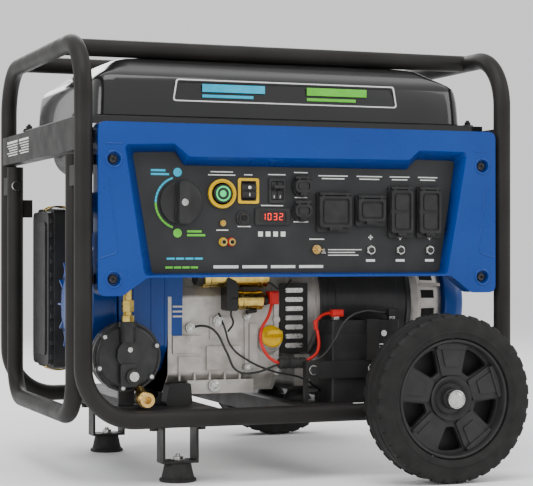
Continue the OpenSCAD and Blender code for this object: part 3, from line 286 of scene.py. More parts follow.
# ---------------------------------------------------------------- tyres
# Solid rubber tyres with a bulged side wall, a rubbing ring, two grooves round the tread
# and a row of short lugs on each shoulder.
tyre_rubber = finish_of("tyre_rubber", (0.007, 0.007, 0.0068), (0.013, 0.0125, 0.012), 0.03,
    (0.6, 0.82), 0.0012, 0.0002)
TYRE_STEPS = 108
TYRE_SIDE = [(-39, 25), (-38, 29), (-33, 31.4), (-30, 33), (-29, 34), (-27, 34), (-26, 33),
    (-16, 33.2), (-8, 31.5), (-4, 28.5), (-2.4, 22), (-2.2, 13.5), (-4, 12.5), (-4, 9.5),
    (-2.2, 8.5), (-2, 3)]


def wheel_seat(rim, tyre):
    """The middle of a wheel and its tyre's radius, in millimetres."""
    low, high = seat(rim)
    tyre_low, tyre_high = seat(tyre)
    return (low + high) / 2, (tyre_high.z - tyre_low.z) / 2


def make_tyre(name, node, rim, body):
    middle, radius = wheel_seat(rim, node)
    bm = bmesh.new()
    half = [(wide, radius + deep) for deep, wide in TYRE_SIDE]
    lathe(bm, half + [(-wide, far) for wide, far in reversed(half)], middle, (0, 1, 0), TYRE_STEPS,
        closed=True)
    bm.faces.ensure_lookup_table()
    lugs = []
    for face in bm.faces:
        spot = face.calc_center_median() - middle
        reach = math.hypot(spot.x, spot.z)
        slice_number = int((math.degrees(math.atan2(spot.z, spot.x)) + 360) / (360 / TYRE_STEPS)
            + 0.01) % 3
        if radius - 6.5 < reach < radius - 1 and 21 < abs(spot.y) < 31 and slice_number:
            lugs.append(face)
    raised = bmesh.ops.extrude_face_region(bm, geom=lugs)
    bmesh.ops.delete(bm, geom=lugs, context="FACES_ONLY")
    for vert in verts_of(raised["geom"]):
        spot = vert.co - middle
        out = Vector((spot.x, 0, spot.z)).normalized()
        vert.co += out * 2.0
    make_piece(name, bm, tyre_rubber, body, edge=0.5, stands_for=(node,), crease=28)


make_tyre("front_tyre_tread", "front_tyre", "front_rim", "front_wheel")
make_tyre("rear_tyre_tread", "rear_tyre", "rear_rim", "rear_wheel")

# ---------------------------------------------------------------- rims
# Black moulded five-spoke rims. The spokes are flared, each with a raised pad, and the
# hub is a deep tapered boss that a pressed steel cap closes.
rim_plastic = finish_of("rim_plastic", (0.016, 0.016, 0.0162), (0.025, 0.025, 0.0253), 0.03,
    (0.42, 0.56), 0.0008, 0.00012)


def soften(outline, radius, steps=5):
    """The outline with each corner rounded."""
    points = []
    for i, corner in enumerate(outline):
        corner = Vector(corner)
        before = Vector(outline[i - 1]) - corner
        after = Vector(outline[(i + 1) % len(outline)]) - corner
        reach = min(radius / math.tan(before.angle(after) / 2), 0.48 * before.length,
            0.48 * after.length)
        start, end = corner + before.normalized() * reach, corner + after.normalized() * reach
        for step in range(steps + 1):
            t = step / steps
            points.append(start * (1 - t) ** 2 + corner * 2 * t * (1 - t) + end * t ** 2)
    return points


def rounded(x0, y0, x1, y1, radius, steps=5):
    """A rectangle's outline, from one corner to the opposite one, with its corners rounded."""
    return soften([(x0, y0), (x1, y0), (x1, y1), (x0, y1)], radius, steps)


def sheet(bm, outlines, near, far, across="XZ"):
    """Adds a plate between two planes, from an outer outline and any holes in it."""
    verts, edges = [], []
    for outline in outlines:
        loop = []
        for u, v in outline:
            loop.append(bm.verts.new({"XZ": (u, near, v), "YZ": (near, u, v),
                "XY": (u, v, near)}[across]))
        edges += [bm.edges.new((a, b)) for a, b in zip(loop, loop[1:] + loop[:1])]
        verts += loop
    filled = bmesh.ops.triangle_fill(bm, edges=edges, use_beauty=True)
    faces = [item for item in filled["geom"] if isinstance(item, bmesh.types.BMFace)]
    moved = bmesh.ops.extrude_face_region(bm, geom=faces)["geom"]
    lift = {"XZ": (0, far - near, 0), "YZ": (far - near, 0, 0), "XY": (0, 0, far - near)}[across]
    bmesh.ops.translate(bm, vec=lift, verts=verts_of(moved))


def heading(angle):
    """The flat unit vector that points along an angle."""
    return Vector((math.cos(angle), math.sin(angle)))


def ring(centre, radius, steps=48):
    """A round outline."""
    return [Vector(centre) + heading(a) * radius
            for a in (2 * math.pi * i / steps for i in range(steps))]


def sector(centre, inner, outer, angle, inner_half, outer_half, radius):
    """A rounded trapezium on a wheel's face, between two radii."""
    corners = []
    for far, spread in ((inner, -inner_half), (inner, inner_half), (outer, outer_half),
            (outer, outer_half / 3), (outer, -outer_half / 3), (outer, -outer_half)):
        turn = math.radians(angle + spread)
        corners.append(Vector(centre) + heading(turn) * far)
    return soften(corners, radius)


def make_rim(name, node, tyre, body, side):
    middle, radius = wheel_seat(node, tyre)
    centre = (middle.x, middle.z)
    band_r = radius - 40.2
    bm = bmesh.new()
    lathe(bm, [(-26, band_r), (26, band_r), (27, band_r - 2), (26, band_r - 4), (22, band_r - 6),
        (-22, band_r - 6), (-26, band_r - 4), (-27, band_r - 2)], middle, (0, 1, 0), 96,
        closed=True)
    windows = [sector(centre, 46, band_r - 11, 90 - 36 + 72 * k, 9, 16, 5) for k in range(5)]
    sheet(bm, [ring(centre, band_r - 5, 96), ring(centre, 18)] + windows, middle.y + side * 2,
        middle.y + side * 11)
    for k in range(5):
        pad = sector(centre, 40, band_r - 7, 90 + 72 * k, 24, 18.5, 4)
        sheet(bm, [pad], middle.y + side * 10, middle.y + side * 15)
        step = sector(centre, 52, band_r - 14, 90 + 72 * k, 12, 12, 3)
        sheet(bm, [step], middle.y + side * 14, middle.y + side * 17)
        tip = sector(centre, band_r - 12, band_r - 6.5, 90 + 72 * k, 18, 17.5, 2)
        sheet(bm, [tip], middle.y + side * 14, middle.y + side * 19)
    web = middle.y - side * 18.5
    sheet(bm, [ring(centre, band_r - 5, 96), ring(centre, 18)], web - 1.5, web + 1.5)
    lathe(bm, [(-24, 8.2), (-24, 20), (-22, 22), (2, 24), (11, 36), (17, 36), (18.5, 34), (18, 32),
        (12, 24), (12, 17), (23, 16), (24, 15), (24, 8.2)], middle, (0, side, 0), 64, closed=True)
    make_piece(name, bm, rim_plastic, body, edge=1.0, stands_for=(node,))


make_rim("front_rim_spokes", "front_rim", "front_tyre", "front_wheel", -1)
make_rim("rear_rim_spokes", "rear_rim", "rear_tyre", "rear_wheel", 1)

# ---------------------------------------------------------------- axles
# Plated stub axles with thrust washers; a pressed cap with a rolled lip covers each nut.
give("stub_axles", bright_zinc_and_highlight)
axle_caps = bmesh.new()
axle_high = seat("stub_axles")[1]
for side in (-1, 1):
    wheel_middle = wheel_seat("front_rim", "front_tyre")[0]
    end = (wheel_middle.x, side * (axle_high.y - 0.5), wheel_middle.z)
    lathe(axle_caps, [(0, 0), (0, 8), (-0.6, 9.4), (-2.2, 10), (-2.2, 12.6), (-1, 13.4),
        (-1.4, 14.6), (-3, 15), (-9, 15), (-9, 13.8), (-4, 13.6), (-4, 0)], end, (0, side, 0), 48)
make_piece("axle_caps", axle_caps, bright_zinc_and_highlight, "frame")

# ---------------------------------------------------------------- engine mounts
# Four moulded rubber blocks stand on the beams; the front left one wears a black hood.
give("engine_mounts", soft_rubber)
case_low, case_high = seat("crankcase")
hood = bmesh.new()
sheet(hood, [soften([(-18, 0), (18, 0), (21, -32), (15, -36), (-22, -36), (-24, -30)], 4)], -26, 2)
bmesh.ops.translate(hood, vec=(-188, case_low.y + 26, case_low.z + 19), verts=hood.verts)
make_piece("mount_hood", hood, sheet_coat, "frame", edge=1.2)

# ---------------------------------------------------------------- crankcase
# A die-cast aluminium block with a rough, slightly mottled skin: a sump with a foot
# flange, stepped panels and ribs on its front, bolts, and the bell that holds the alternator.
def cast_skin(place, colour, relief, gloss):
    stain = place.cloud(0.045, 5.0).spread(0, 1, 0.5, 0.72)
    stained = (stain * 0.55).tint(colour, (0.2, 0.18, 0.155))
    return stained, relief + place.cloud(0.006, 2.0) * 1.5, gloss


cast_metal = finish_of("cast_metal", (0.4, 0.375, 0.345), (0.56, 0.53, 0.5), 0.03, (0.42, 0.62),
    0.0012, 0.00035, metal=0.75, pattern=cast_skin)
block = bmesh.new()
back = case_high.y
outline = [(-190, 168), (-160, 138), (14, 138), (34, 178), (34, 352), (-146, 352), (-190, 296)]
profile = soften(outline, 9)
sheet(block, [profile], -204, -12, "YZ")
for x, thick, grow in ((-204, 6, 3), (-72, 7, 3.5), (-20, 8, 3.5)):
    collar = soften([(y + grow * (1 if y > -100 else -1), z) for y, z in outline], 10)
    sheet(block, [collar], x, x + thick, "YZ")
shaft = Vector((0, -85, 280))
lathe(block, [(-12, 60), (-12, 96), (10, 96), (14, 93), (60, 93), (62, 96.0), (68, 96), (68, 60)],
    shaft, (1, 0, 0), 96, closed=True)
brick(block, (-171, -194, 137), (-57, back, 159))
for low, high in (((-196, -194, 204), (-148, -188, 232)), ((-138, -194.5, 176), (-78, -188, 214)),
                  ((-186, -193, 172), (-146, -188, 198)), ((-132, -193, 226), (-86, -188, 262)),
                  ((-64, -195, 176), (-50, -188, 250)), ((26, -170, 143), (54, -40, 196))):
    brick(block, low, high)
for x in (-186, -160, -134, -108, -82):
    brick(block, (x, -193.5, 159), (x + 3, -150, 171))
for z in (262, 270, 278):
    brick(block, (-196, -193.5, z), (-176, -188, z + 3))
for x, z, r in ((-126, 150, 9), (-167, 245, 8), (-119, 255, 9), (-68, 262, 7), (-68, 178, 7),
        (-16, 170, 6), (-16, 256, 6)):
    rod(block, (x, -196, z), (x, -180, z), r)
neck = Vector((-28, -197, 226))
lean = Vector((0, -math.cos(math.radians(24)), math.sin(math.radians(24))))
rod(block, neck - lean * 26, neck + lean * 4, 20)
rod(block, neck - lean * 30, neck - lean * 6, 27, 21)
make_piece("engine_block", block, cast_metal, "frame", edge=1.6,
    stands_for=("crankcase",))

bolts = bmesh.new()
for x, y, z, r in ((-126, -198, 150, 8), (-167, -198, 245, 6.5), (-119, -198, 255, 7.5),
        (-68, -198, 262, 5), (-68, -198, 178, 5), (-16, -198, 170, 4.5)):
    rod(bolts, (x, y - 1, z), (x, y + 2, z), r * 1.25)
    rod(bolts, (x, y - 5, z), (x, y - 0.6, z), r, sides=6)
    rod(bolts, (x, y - 5.8, z), (x, y - 5, z), r * 0.5, r * 0.7)
make_piece("block_bolts", bolts, bright_zinc_and_highlight, "frame", edge=0.5)

# ---------------------------------------------------------------- cylinder head
# The finned cylinder leans to the rear; cast in the same alloy, with a rocker cover
# behind it and the spark plug standing on top.
head = bmesh.new()
brick(head, (-168, 33, 252), (-52, 150, 348))
for i in range(10):
    y = 40 + i * 10.6
    fin = rounded(-180, 242, -40, 358, 12)
    sheet(head, [fin], y, y + 3)
sheet(head, [rounded(-166, 256, -54, 344, 14)], 150, 180)
sheet(head, [rounded(-158, 264, -62, 336, 14)], 180, 186)
for x in (-150, -70):
    for z in (272, 328):
        rod(head, (x, 178, z), (x, 186, z), 6, sides=6)
rod(head, (-110, 168, 340), (-110, 168, 352), 8, 8)
rod(head, (-110, 168, 352), (-110, 168, 376), 5.5, 4.5)
make_piece("finned_head", head, cast_metal, "frame", edge=0.8,
    stands_for=("cylinder_head",))

# ---------------------------------------------------------------- blower shroud and recoil cover
# Blue painted pressed steel: a scroll round the fan with rolled edges and two swages, and
# the recoil starter's domed cover with its ring of round air holes.
blue_paint = finish_of("blue_paint", (0.0, 0.034, 0.19), (0.0, 0.044, 0.23), 0.07, (0.26, 0.4),
    0.0016, 0.00006, coat=0.15)
shroud_low = seat("blower_shroud")[0]
shroud = bmesh.new()
scroll = soften([(-191, 216), (-150, 172), (30, 172), (46, 200), (46, 400), (-140, 400),
    (-191, 360)], 20, 8)
eye = ring((shaft.y, shaft.z), 88, 64)


def scroll_moved(inward):
    """The shroud's outline, each point moved towards the shaft along Y and Z."""
    return [Vector((y + (inward if y < shaft.y else -inward),
        z + (inward if z < shaft.z else -inward))) for y, z in scroll]


sheet(shroud, [scroll, eye], shroud_low.x, shroud_low.x + 2, "YZ")
inner = scroll_moved(2)
sheet(shroud, [scroll, inner], shroud_low.x, -205, "YZ")
lip = scroll_moved(-1.2)
sheet(shroud, [lip, inner], -209, -205, "YZ")
sheet(shroud, [soften([(-206, 238), (-180, 226), (-178, 372), (-206, 372)], 6)], -192.5, -190)
for x in (-262, -232):
    ridge = scroll_moved(-1.4)
    sheet(shroud, [ridge, inner], x, x + 5, "YZ")
make_piece("fan_shroud", shroud, blue_paint, "frame", edge=1.0,
    stands_for=("blower_shroud",))


def round_shaft(bm, verts, angle):
    """Turns part of a mesh drawn about the X axis, and moves it onto the shaft."""
    place = Matrix.Translation(shaft) @ Matrix.Rotation(angle, 4, "X")
    bmesh.ops.transform(bm, matrix=place, verts=verts)


recoil_low, recoil_high = seat("recoil_cover")
cover = bmesh.new()
lathe(cover, [(recoil_low.x + 1, 0), (recoil_low.x, 6), (recoil_low.x, 46), (recoil_low.x + 2, 53),
    (recoil_low.x + 6, 56), (recoil_low.x + 6.5, 62), (recoil_low.x + 7, 78),
    (recoil_low.x + 9, 84), (recoil_low.x + 14, 93), (recoil_low.x + 18, 96),
    (recoil_high.x - 4, 96), (recoil_high.x, 97), (recoil_high.x, 93), (recoil_low.x + 18, 93),
    (recoil_low.x + 10, 80), (recoil_low.x + 10, 0)], shaft, (1, 0, 0), 96)
for rib in range(12):
    strip = brick(cover, (recoil_low.x + 2, -1.5, 56), (recoil_low.x + 7.5, 1.5, 80))
    round_shaft(cover, strip, rib * math.pi / 6)
rod(cover, (recoil_low.x + 10.5, -160, 350), (recoil_low.x + 40, -160, 350), 12)
make_piece("recoil_dome", cover, blue_paint, "frame", stands_for=("recoil_cover",))

shadow_black = finish_of(
    "shadow_black", (0.004, 0.004, 0.004), (0.009, 0.009, 0.009), 0.02, (0.7, 0.9), 0.001, 0.0001)
shroud_print = bmesh.new()
for row in range(9):
    z = 372 - row * 5.2
    brick(shroud_print, (-262, -191.4, z), (-214 - row % 3 * 5, -190.8,
        z + (3 if row == 0 else 1.6)))
make_piece("shroud_print", shroud_print, finish_of("pale_blue_print", (0.2, 0.34, 0.5),
    (0.28, 0.42, 0.6), 0.02, (0.4, 0.5), 0.0006, 0.00002), "frame")
air_holes = bmesh.new()
for hole in range(24):
    turn = math.radians(hole * 15 + 7.5)
    at = shaft + Vector((0, math.cos(turn) * 70, math.sin(turn) * 70))
    rod(air_holes, at + Vector((recoil_low.x + 6.2, 0, 0)), at + Vector((recoil_low.x + 8, 0, 0)),
        3.6, sides=20)
make_piece("cover_air_holes", air_holes, shadow_black, "frame")

grip = bmesh.new()
grip_low, grip_high = seat("recoil_handle")
middle = (grip_low + grip_high) / 2
lathe(grip, [(-51, 0), (-50, 4), (-46, 7.6), (-38, 8.8), (-20, 7.8), (0, 7.4), (20, 7.8), (38, 8.8),
    (46, 7.6), (50, 4), (51, 0)], (grip_low.x + 9, middle.y, middle.z), (0, 0, 1), 40)
for z in (-30, -18, -6, 6, 18, 30):
    lathe(grip, [(z - 1, 7), (z - 1, 9), (z + 1, 9), (z + 1, 7)],
        (grip_low.x + 9, middle.y, middle.z), (0, 0, 1), 40, closed=True)
rod(grip, (grip_low.x + 12, middle.y, middle.z), (grip_high.x, middle.y, middle.z), 7, 6)
make_piece("recoil_grip", grip, soft_rubber, "recoil_grip", edge=0.4,
    stands_for=("recoil_handle",))

steel_grey = finish_of("steel_grey", (0.24, 0.24, 0.24), (0.38, 0.38, 0.38), 0.03, (0.3, 0.5),
    0.0012, 0.0001, metal=0.9)
give("crank_rotor", steel_grey)

# ---------------------------------------------------------------- starter motor
# A gold-passivated solenoid on a dark gear housing, with the motor behind it.
gold_zinc = finish_of("gold_zinc", (0.46, 0.3, 0.06), (0.66, 0.5, 0.16), 0.012, (0.18, 0.3), 0.001,
    0.000008, metal=1.0)
starter = bmesh.new()
lathe(starter, [(-93, 0), (-93, 14), (-91, 16), (-84, 16), (-83, 15.2), (-57, 15.2), (-56, 16),
    (-49, 16), (-47, 14), (-47, 0)], (0, -207, 289), (1, 0, 0), 48)
lathe(starter, [(-149, 0), (-149, 20), (-147, 22), (-138, 22), (-137, 21), (-50, 21), (-49, 22),
    (-38, 22), (-36, 20), (-36, 0)], (0, -198, 331), (1, 0, 0), 48)
make_piece("starter_barrels", starter, gold_zinc, "frame", edge=0.5,
    stands_for=("starter_motor",))
housing = bmesh.new()
rod(housing, (-104, -207, 289), (-93, -207, 289), 13)
rod(housing, (-160, -198, 331), (-149, -198, 331), 17)
sheet(housing, [soften([(-112, 272), (-92, 272), (-92, 316), (-112, 330)], 5)], -219, -189)
rod(housing, (-47, -207, 289), (-38, -207, 289), 8.5)
rod(housing, (-76, -214, 270), (-58, -208, 272), 3.4)
make_piece("starter_gear_case", housing, sheet_coat, "frame", edge=0.8)

# ---------------------------------------------------------------- dipstick cap
# A bright yellow moulded cap with a tall thumb wing and a rolled rim, on its dipstick.
safety_yellow = finish_of("safety_yellow", (0.62, 0.37, 0.0), (0.72, 0.45, 0.0), 0.02, (0.3, 0.42),
    0.001, 0.00005, coat=0.05)
cap = bmesh.new()
lathe(cap, [(4.6, 0), (4.6, 17.5), (5.5, 19), (9, 19), (10.5, 18), (12.5, 15), (13.4, 9),
    (13.6, 0)], neck, lean, 56)
wing = bmesh.new()
sheet(wing, [soften([(-17, 10), (17, 10), (14.5, 22), (6, 26), (-6, 26), (-14.5, 22)], 5)], -3.4,
    3.4)
bmesh.ops.rotate(wing, cent=(0, 0, 0), matrix=Matrix.Rotation(math.radians(66), 3, "X"),
    verts=wing.verts)
bmesh.ops.translate(wing, vec=neck, verts=wing.verts)
spare = bpy.data.meshes.new("wing")
wing.to_mesh(spare)
cap.from_mesh(spare)
wing.free()
bpy.data.meshes.remove(spare)
rod(cap, neck - lean * 33, neck + lean * 5, 8.2)
rod(cap, neck - lean * 73, neck - lean * 33, 1.9, 1.6, 12)
make_piece("dipstick_cap", cap, safety_yellow, "dipstick", edge=0.8,
    stands_for=("oil_cap",))

# ---------------------------------------------------------------- air cleaner and carburettor
# A tall black moulded box: a ribbed body, a cover with a scalloped edge, and two gold
# wire clips that hold it. The carburettor stands behind it and takes the gas hose.
black_moulding = finish_of("black_moulding", (0.014, 0.014, 0.014), (0.028, 0.028, 0.028), 0.04,
    (0.3, 0.48), 0.0009, 0.0001, coat=0.05)
air_low, air_high = seat("air_cleaner")
air_z0, air_z1 = air_low.z + 6, air_high.z - 6
cleaner = bmesh.new()
body_line = rounded(air_low.y + 4, air_z0 + 4, air_high.y - 4, air_z1 - 4, 16)
sheet(cleaner, [body_line], air_low.x + 33, air_high.x, "YZ")
for x in (air_low.x + 44, air_low.x + 60, air_low.x + 76):
    wide = rounded(air_low.y + 1, air_z0 + 1, air_high.y - 1, air_z1 - 1, 17)
    sheet(cleaner, [wide], x, x + 4, "YZ")
lid_line = rounded(air_low.y, air_z0, air_high.y, air_z1, 18)
sheet(cleaner, [lid_line], air_low.x + 12, air_low.x + 33, "YZ")
lid_face = rounded(air_low.y + 6, air_z0 + 6, air_high.y - 6, air_z1 - 6, 16)
sheet(cleaner, [lid_face], air_low.x + 3, air_low.x + 12, "YZ")
sheet(cleaner, [rounded(air_low.y + 20, air_z0 + 24, air_high.y - 20, air_z1 - 24, 10)],
      air_low.x, air_low.x + 3, "YZ")
for scallop in range(11):
    z = air_z0 + 22 + scallop * (air_z1 - air_z0 - 44) / 10
    for y in (air_low.y, air_high.y):
        rod(cleaner, (air_low.x + 6, y + (5.5 if y == air_low.y else -5.5), z),
            (air_low.x + 30, y + (5.5 if y == air_low.y else -5.5), z), 5.4, sides=24)
make_piece("air_box", cleaner, black_moulding, "frame", edge=1.4,
    stands_for=("air_cleaner",))


def wire(name, route, radius, material, body):
    """A round wire, hose or tube along a smooth curve through points in millimetres."""
    curve = bpy.data.curves.new(name, "CURVE")
    curve.dimensions = "3D"
    curve.bevel_depth = radius / 1000
    curve.bevel_resolution = 4
    curve.resolution_u = 8
    curve.use_fill_caps = True
    line = curve.splines.new("BEZIER")
    line.bezier_points.add(len(route) - 1)
    for point, spot in zip(line.bezier_points, route):
        point.co = Vector(spot) / 1000
        point.handle_left_type = point.handle_right_type = "AUTO"
    curve.materials.append(material)
    piece = bpy.data.objects.new(name, curve)
    bpy.context.scene.collection.objects.link(piece)
    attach(piece, body)
    return piece


clip_x, clip_y = air_low.x + 34, (air_low.y + air_high.y) / 2
for name, z, up in (("air_clip_top", air_z1, 1), ("air_clip_bottom", air_z0, -1)):
    wire(name, [(clip_x - 24, clip_y - 8, z - up * 3), (clip_x - 16, clip_y - 14, z + up * 2),
        (clip_x, clip_y - 15, z + up * 4.2), (clip_x + 16, clip_y - 12, z + up * 2),
        (clip_x + 22, clip_y, z + up * 1.6), (clip_x + 16, clip_y + 12, z + up * 2),
        (clip_x, clip_y + 15, z + up * 4.2), (clip_x - 16, clip_y + 14, z + up * 2),
        (clip_x - 24, clip_y + 8, z - up * 3)], 1.5, gold_zinc, "frame")

carb = bmesh.new()
lathe(carb, [(-250, 0), (-250, 22), (-246, 24), (-243, 24), (-240, 21), (-216, 21), (-216, 0)],
    (0, 110, 320), (1, 0, 0), 40)
sheet(carb, [rounded(-216, 292, -182, 350, 5)], 86, 134)
lathe(carb, [(262, 0), (262, 12), (265, 16), (286, 16), (288, 18), (292, 18), (292, 0)],
    (-199, 110, 0), (0, 0, 1), 40)
rod(carb, (-199, 80, 336), (-199, 140, 336), 5)
make_piece("carburettor_body", carb, cast_metal, "frame", edge=0.8,
    stands_for=("carburettor",))
wire("gas_hose", [(-283, -232, 402), (-283, -232, 412), (-283, -228, 424), (-281, -212, 434),
    (-277, -180, 439), (-265, -110, 439), (-245, -40, 436), (-225, 30, 430), (-208, 80, 416),
    (-201, 104, 396), (-199, 110, 374), (-199, 110, 352)], 7, soft_rubber, "frame")

# ---------------------------------------------------------------- muffler
# A steel drum with crimped ends above the cylinder, behind a perforated heat shield; heat
# has browned it near the exhaust pipe.
def heat_tint(place, colour, relief, gloss):
    warm = place.part(0).spread(1, 0, -0.02, 0.16) * place.cloud(0.04, 4.0).spread(0, 1, 0.35, 0.6)
    return warm.tint(colour, (0.25, 0.14, 0.07)), relief, gloss


hot_steel = finish_of("hot_steel", (0.27, 0.26, 0.25), (0.42, 0.41, 0.39), 0.05, (0.38, 0.58),
    0.0015, 0.00015, metal=0.9, pattern=heat_tint)
drum_axis = Vector((0, 130, 452))
drum = bmesh.new()
lathe(drum, [(10, 0), (10, 58), (11, 61), (14, 61), (15, 57.5), (70, 57.5), (71, 59), (76, 59),
    (77, 57.5), (203, 57.5), (204, 59), (209, 59), (210, 57.5), (265, 57.5), (266, 61), (269, 61),
    (270, 58), (270, 14), (290, 14), (290, 12), (272, 12), (272, 0)], drum_axis, (1, 0, 0), 80)
rod(drum, (-40, 110, 322), (36, 110, 322), 13)
lathe(drum, [(0, 13), (12, 12.2), (26, 13), (82, 13)], (40, 110, 322), (0, 0, 1), 32)
bmesh.ops.create_uvsphere(drum, u_segments=32, v_segments=16, radius=13,
    matrix=Matrix.Translation((40, 110, 322)))
brick(drum, (-50, 92, 304), (-39, 128, 340))
make_piece("muffler_drum", drum, hot_steel, "frame", stands_for=("muffler",))

# ---------------------------------------------------------------- alternator
# A satin black barrel of pressed laminations, a cast end bell, a slotted blue end cover,
# and the louvred steel plate that shields the gap to the engine; its louvres are drawn in bright
# plated metal as a painted highlight against the plate's dark coat.
def lamination_sheen(place, colour, relief, gloss):
    layers = place.stretched(1, 0.05, 0.05).cloud(0.0012, 1.0)
    return (layers * 0.6).tint(colour, (0.06, 0.06, 0.06)), relief + layers * 0.6, gloss


barrel_black = finish_of("barrel_black", (0.018, 0.018, 0.019), (0.03, 0.03, 0.03), 0.05,
    (0.3, 0.44), 0.001, 0.0001, metal=0.3, coat=0.1, pattern=lamination_sheen)
alt_low, alt_high = seat("alternator_body")
alt_r = (alt_high.z - alt_low.z) / 2
barrel = bmesh.new()
lathe(barrel, [(alt_low.x, 80), (alt_low.x, alt_r - 1), (alt_low.x + 8, alt_r),
    (alt_low.x + 9, alt_r - 2.5), (alt_low.x + 26, alt_r - 2.5), (alt_low.x + 27, alt_r),
    (alt_high.x - 27, alt_r), (alt_high.x - 26, alt_r - 2.5), (alt_high.x - 9, alt_r - 2.5),
    (alt_high.x - 8, alt_r), (alt_high.x, alt_r - 1), (alt_high.x, 80)], (0, shaft.y, shaft.z),
    (1, 0, 0), 128, closed=True)
make_piece("alternator_barrel", barrel, barrel_black, "frame", edge=0.5,
    stands_for=("alternator_body",))

bell_low, bell_high = seat("end_bell")
bell = bmesh.new()
lathe(bell, [(bell_low.x, 70), (bell_low.x, 103), (bell_low.x + 2, 104), (bell_low.x + 14, 104),
    (bell_low.x + 16, 102), (bell_low.x + 50, 98), (bell_high.x - 2, 90), (bell_high.x, 88),
    (bell_high.x, 70)], shaft, (1, 0, 0), 96, closed=True)
for web in range(10):
    angle = math.pi * web / 5
    fin = brick(bell, (bell_low.x + 16, -2.5, 92), (bell_high.x - 8, 2.5, 103))
    round_shaft(bell, fin, angle)
make_piece("cast_end_bell", bell, cast_metal, "frame", edge=0.8,
    stands_for=("end_bell",))
vents = bmesh.new()
for vent in range(20):
    angle = math.pi * (vent + 0.5) / 10
    slot = brick(vents, (bell_low.x + 20, -7, 98.6), (bell_low.x + 46, 7, 100.6),
        Matrix.Rotation(math.radians(6.7), 4, "Y"))
    round_shaft(vents, slot, angle)
make_piece("end_bell_vents", vents, shadow_black, "frame", edge=0.8)

cover_low, cover_high = seat("end_cover")
dome = bmesh.new()
lathe(dome, [(cover_low.x, 80), (cover_low.x, 102), (cover_low.x + 20, 102),
    (cover_high.x - 8, 101), (cover_high.x - 3, 98), (cover_high.x, 93), (cover_high.x, 76),
    (cover_high.x - 2.4, 74), (cover_high.x - 2.4, 0)], shaft, (1, 0, 0), 96)
make_piece("end_dome", dome, blue_paint, "frame", stands_for=("end_cover",))
slots = bmesh.new()
for row in range(7):
    z = shaft.z - 48 + row * 16
    half = math.sqrt(74 ** 2 - (z - shaft.z) ** 2) * 0.82
    brick(slots, (cover_high.x - 4, shaft.y - half, z - 3),
        (cover_high.x - 2.1, shaft.y + half, z + 3))
make_piece("end_cover_slots", slots, shadow_black, "frame", edge=0.8)

louvre_low, louvre_high = seat("louvre_plate")
louvres = bmesh.new()
# The humps are pressed from the same plate; their bright plated metal is a painted highlight, lighter
# than the plate's dark coat where the louvres catch the light.
highlight_humps = bmesh.new()
sheet(louvres, [rounded(louvre_low.x, louvre_low.z, louvre_high.x, louvre_high.z, 3)],
      louvre_high.y - 1.6, louvre_high.y)
for row in range(7):
    z = louvre_low.z + 12 + row * (louvre_high.z - louvre_low.z - 24) / 6
    hump = rounded(louvre_low.x + 9, z - 4, louvre_high.x - 9, z + 4, 4)
    sheet(highlight_humps, [hump], louvre_high.y - 3.6, louvre_high.y - 1)
make_piece("louvred_shield", louvres, sheet_coat, "frame", edge=0.3,
    stands_for=("louvre_plate",))
make_piece("shield_louvre_highlights", highlight_humps, bright_zinc_and_highlight, "frame", edge=1.2)

# ---------------------------------------------------------------- battery, clamp and leads
# A sealed black battery on a tray, held by a bar and a vertical strap; red and black
# leads in a rubber sleeve run from its posts to the solenoid and the engine.
battery_black = finish_of("battery_black", (0.012, 0.012, 0.013), (0.022, 0.022, 0.023), 0.03,
    (0.34, 0.5), 0.0008, 0.0001)
cell_low, cell_high = seat("battery")
cell_top = cell_high.z - 6
cell = bmesh.new()
sheet(cell, [rounded(cell_low.x, cell_low.y, cell_high.x, cell_high.y, 4)],
      cell_low.z, cell_top - 22, "XY")
sheet(cell, [rounded(cell_low.x + 1.5, cell_low.y + 1.5, cell_high.x - 1.5, cell_high.y - 1.5, 4)],
    cell_top - 22, cell_top, "XY")
for row in range(6):
    x = cell_low.x + 12 + row * 20.4
    rod(cell, (x, cell_high.y - 14, cell_top - 2), (x, cell_high.y - 14, cell_top + 1), 6)
for x in (cell_low.x + 12, cell_high.x - 12):
    brick(cell, (x - 8, cell_low.y + 3, cell_top - 1), (x + 8, cell_low.y + 19, cell_top + 1))
make_piece("battery_case", cell, battery_black, "frame", edge=1.2,
    stands_for=("battery",))
posts = bmesh.new()
for x in (cell_low.x + 12, cell_high.x - 12):
    brick(posts, (x - 5, cell_low.y + 8, cell_top), (x + 5, cell_low.y + 18, cell_high.z))
    rod(posts, (x, cell_low.y + 6, cell_top + 4), (x, cell_low.y + 10, cell_top + 4), 4, sides=6)
make_piece("battery_posts", posts, bright_zinc_and_highlight, "frame", edge=0.6)
label_grey = finish_of(
    "label_grey", (0.6, 0.6, 0.6), (0.72, 0.72, 0.72), 0.02, (0.45, 0.55), 0.0006, 0.00002)
label = bmesh.new()
brick(label, (cell_low.x + 84, cell_low.y - 0.35, cell_low.z + 30),
    (cell_low.x + 112, cell_low.y + 0.4, cell_low.z + 34))
for row in range(4):
    brick(label, (cell_low.x + 84, cell_low.y - 0.35, cell_low.z + 78 + row * 5),
        (cell_low.x + 116 - row * 5, cell_low.y + 0.4, cell_low.z + 80 + row * 5))
rod(label, (cell_low.x + 94, cell_low.y + 0.3, cell_low.z + 112),
    (cell_low.x + 94, cell_low.y - 0.35, cell_low.z + 112), 5)
make_piece("battery_label", label, label_grey, "frame")

give("battery_clamp", sheet_coat)
clamp_bolts = bmesh.new()
for x, z in ((26, 175), (131, 175)):
    rod(clamp_bolts, (x, cell_low.y - 5, z), (x, cell_low.y - 3.8, z), 8)
    rod(clamp_bolts, (x, cell_low.y - 9, z), (x, cell_low.y - 5, z), 6, sides=6)
make_piece("clamp_bolts", clamp_bolts, bright_zinc_and_highlight, "frame", edge=0.5)

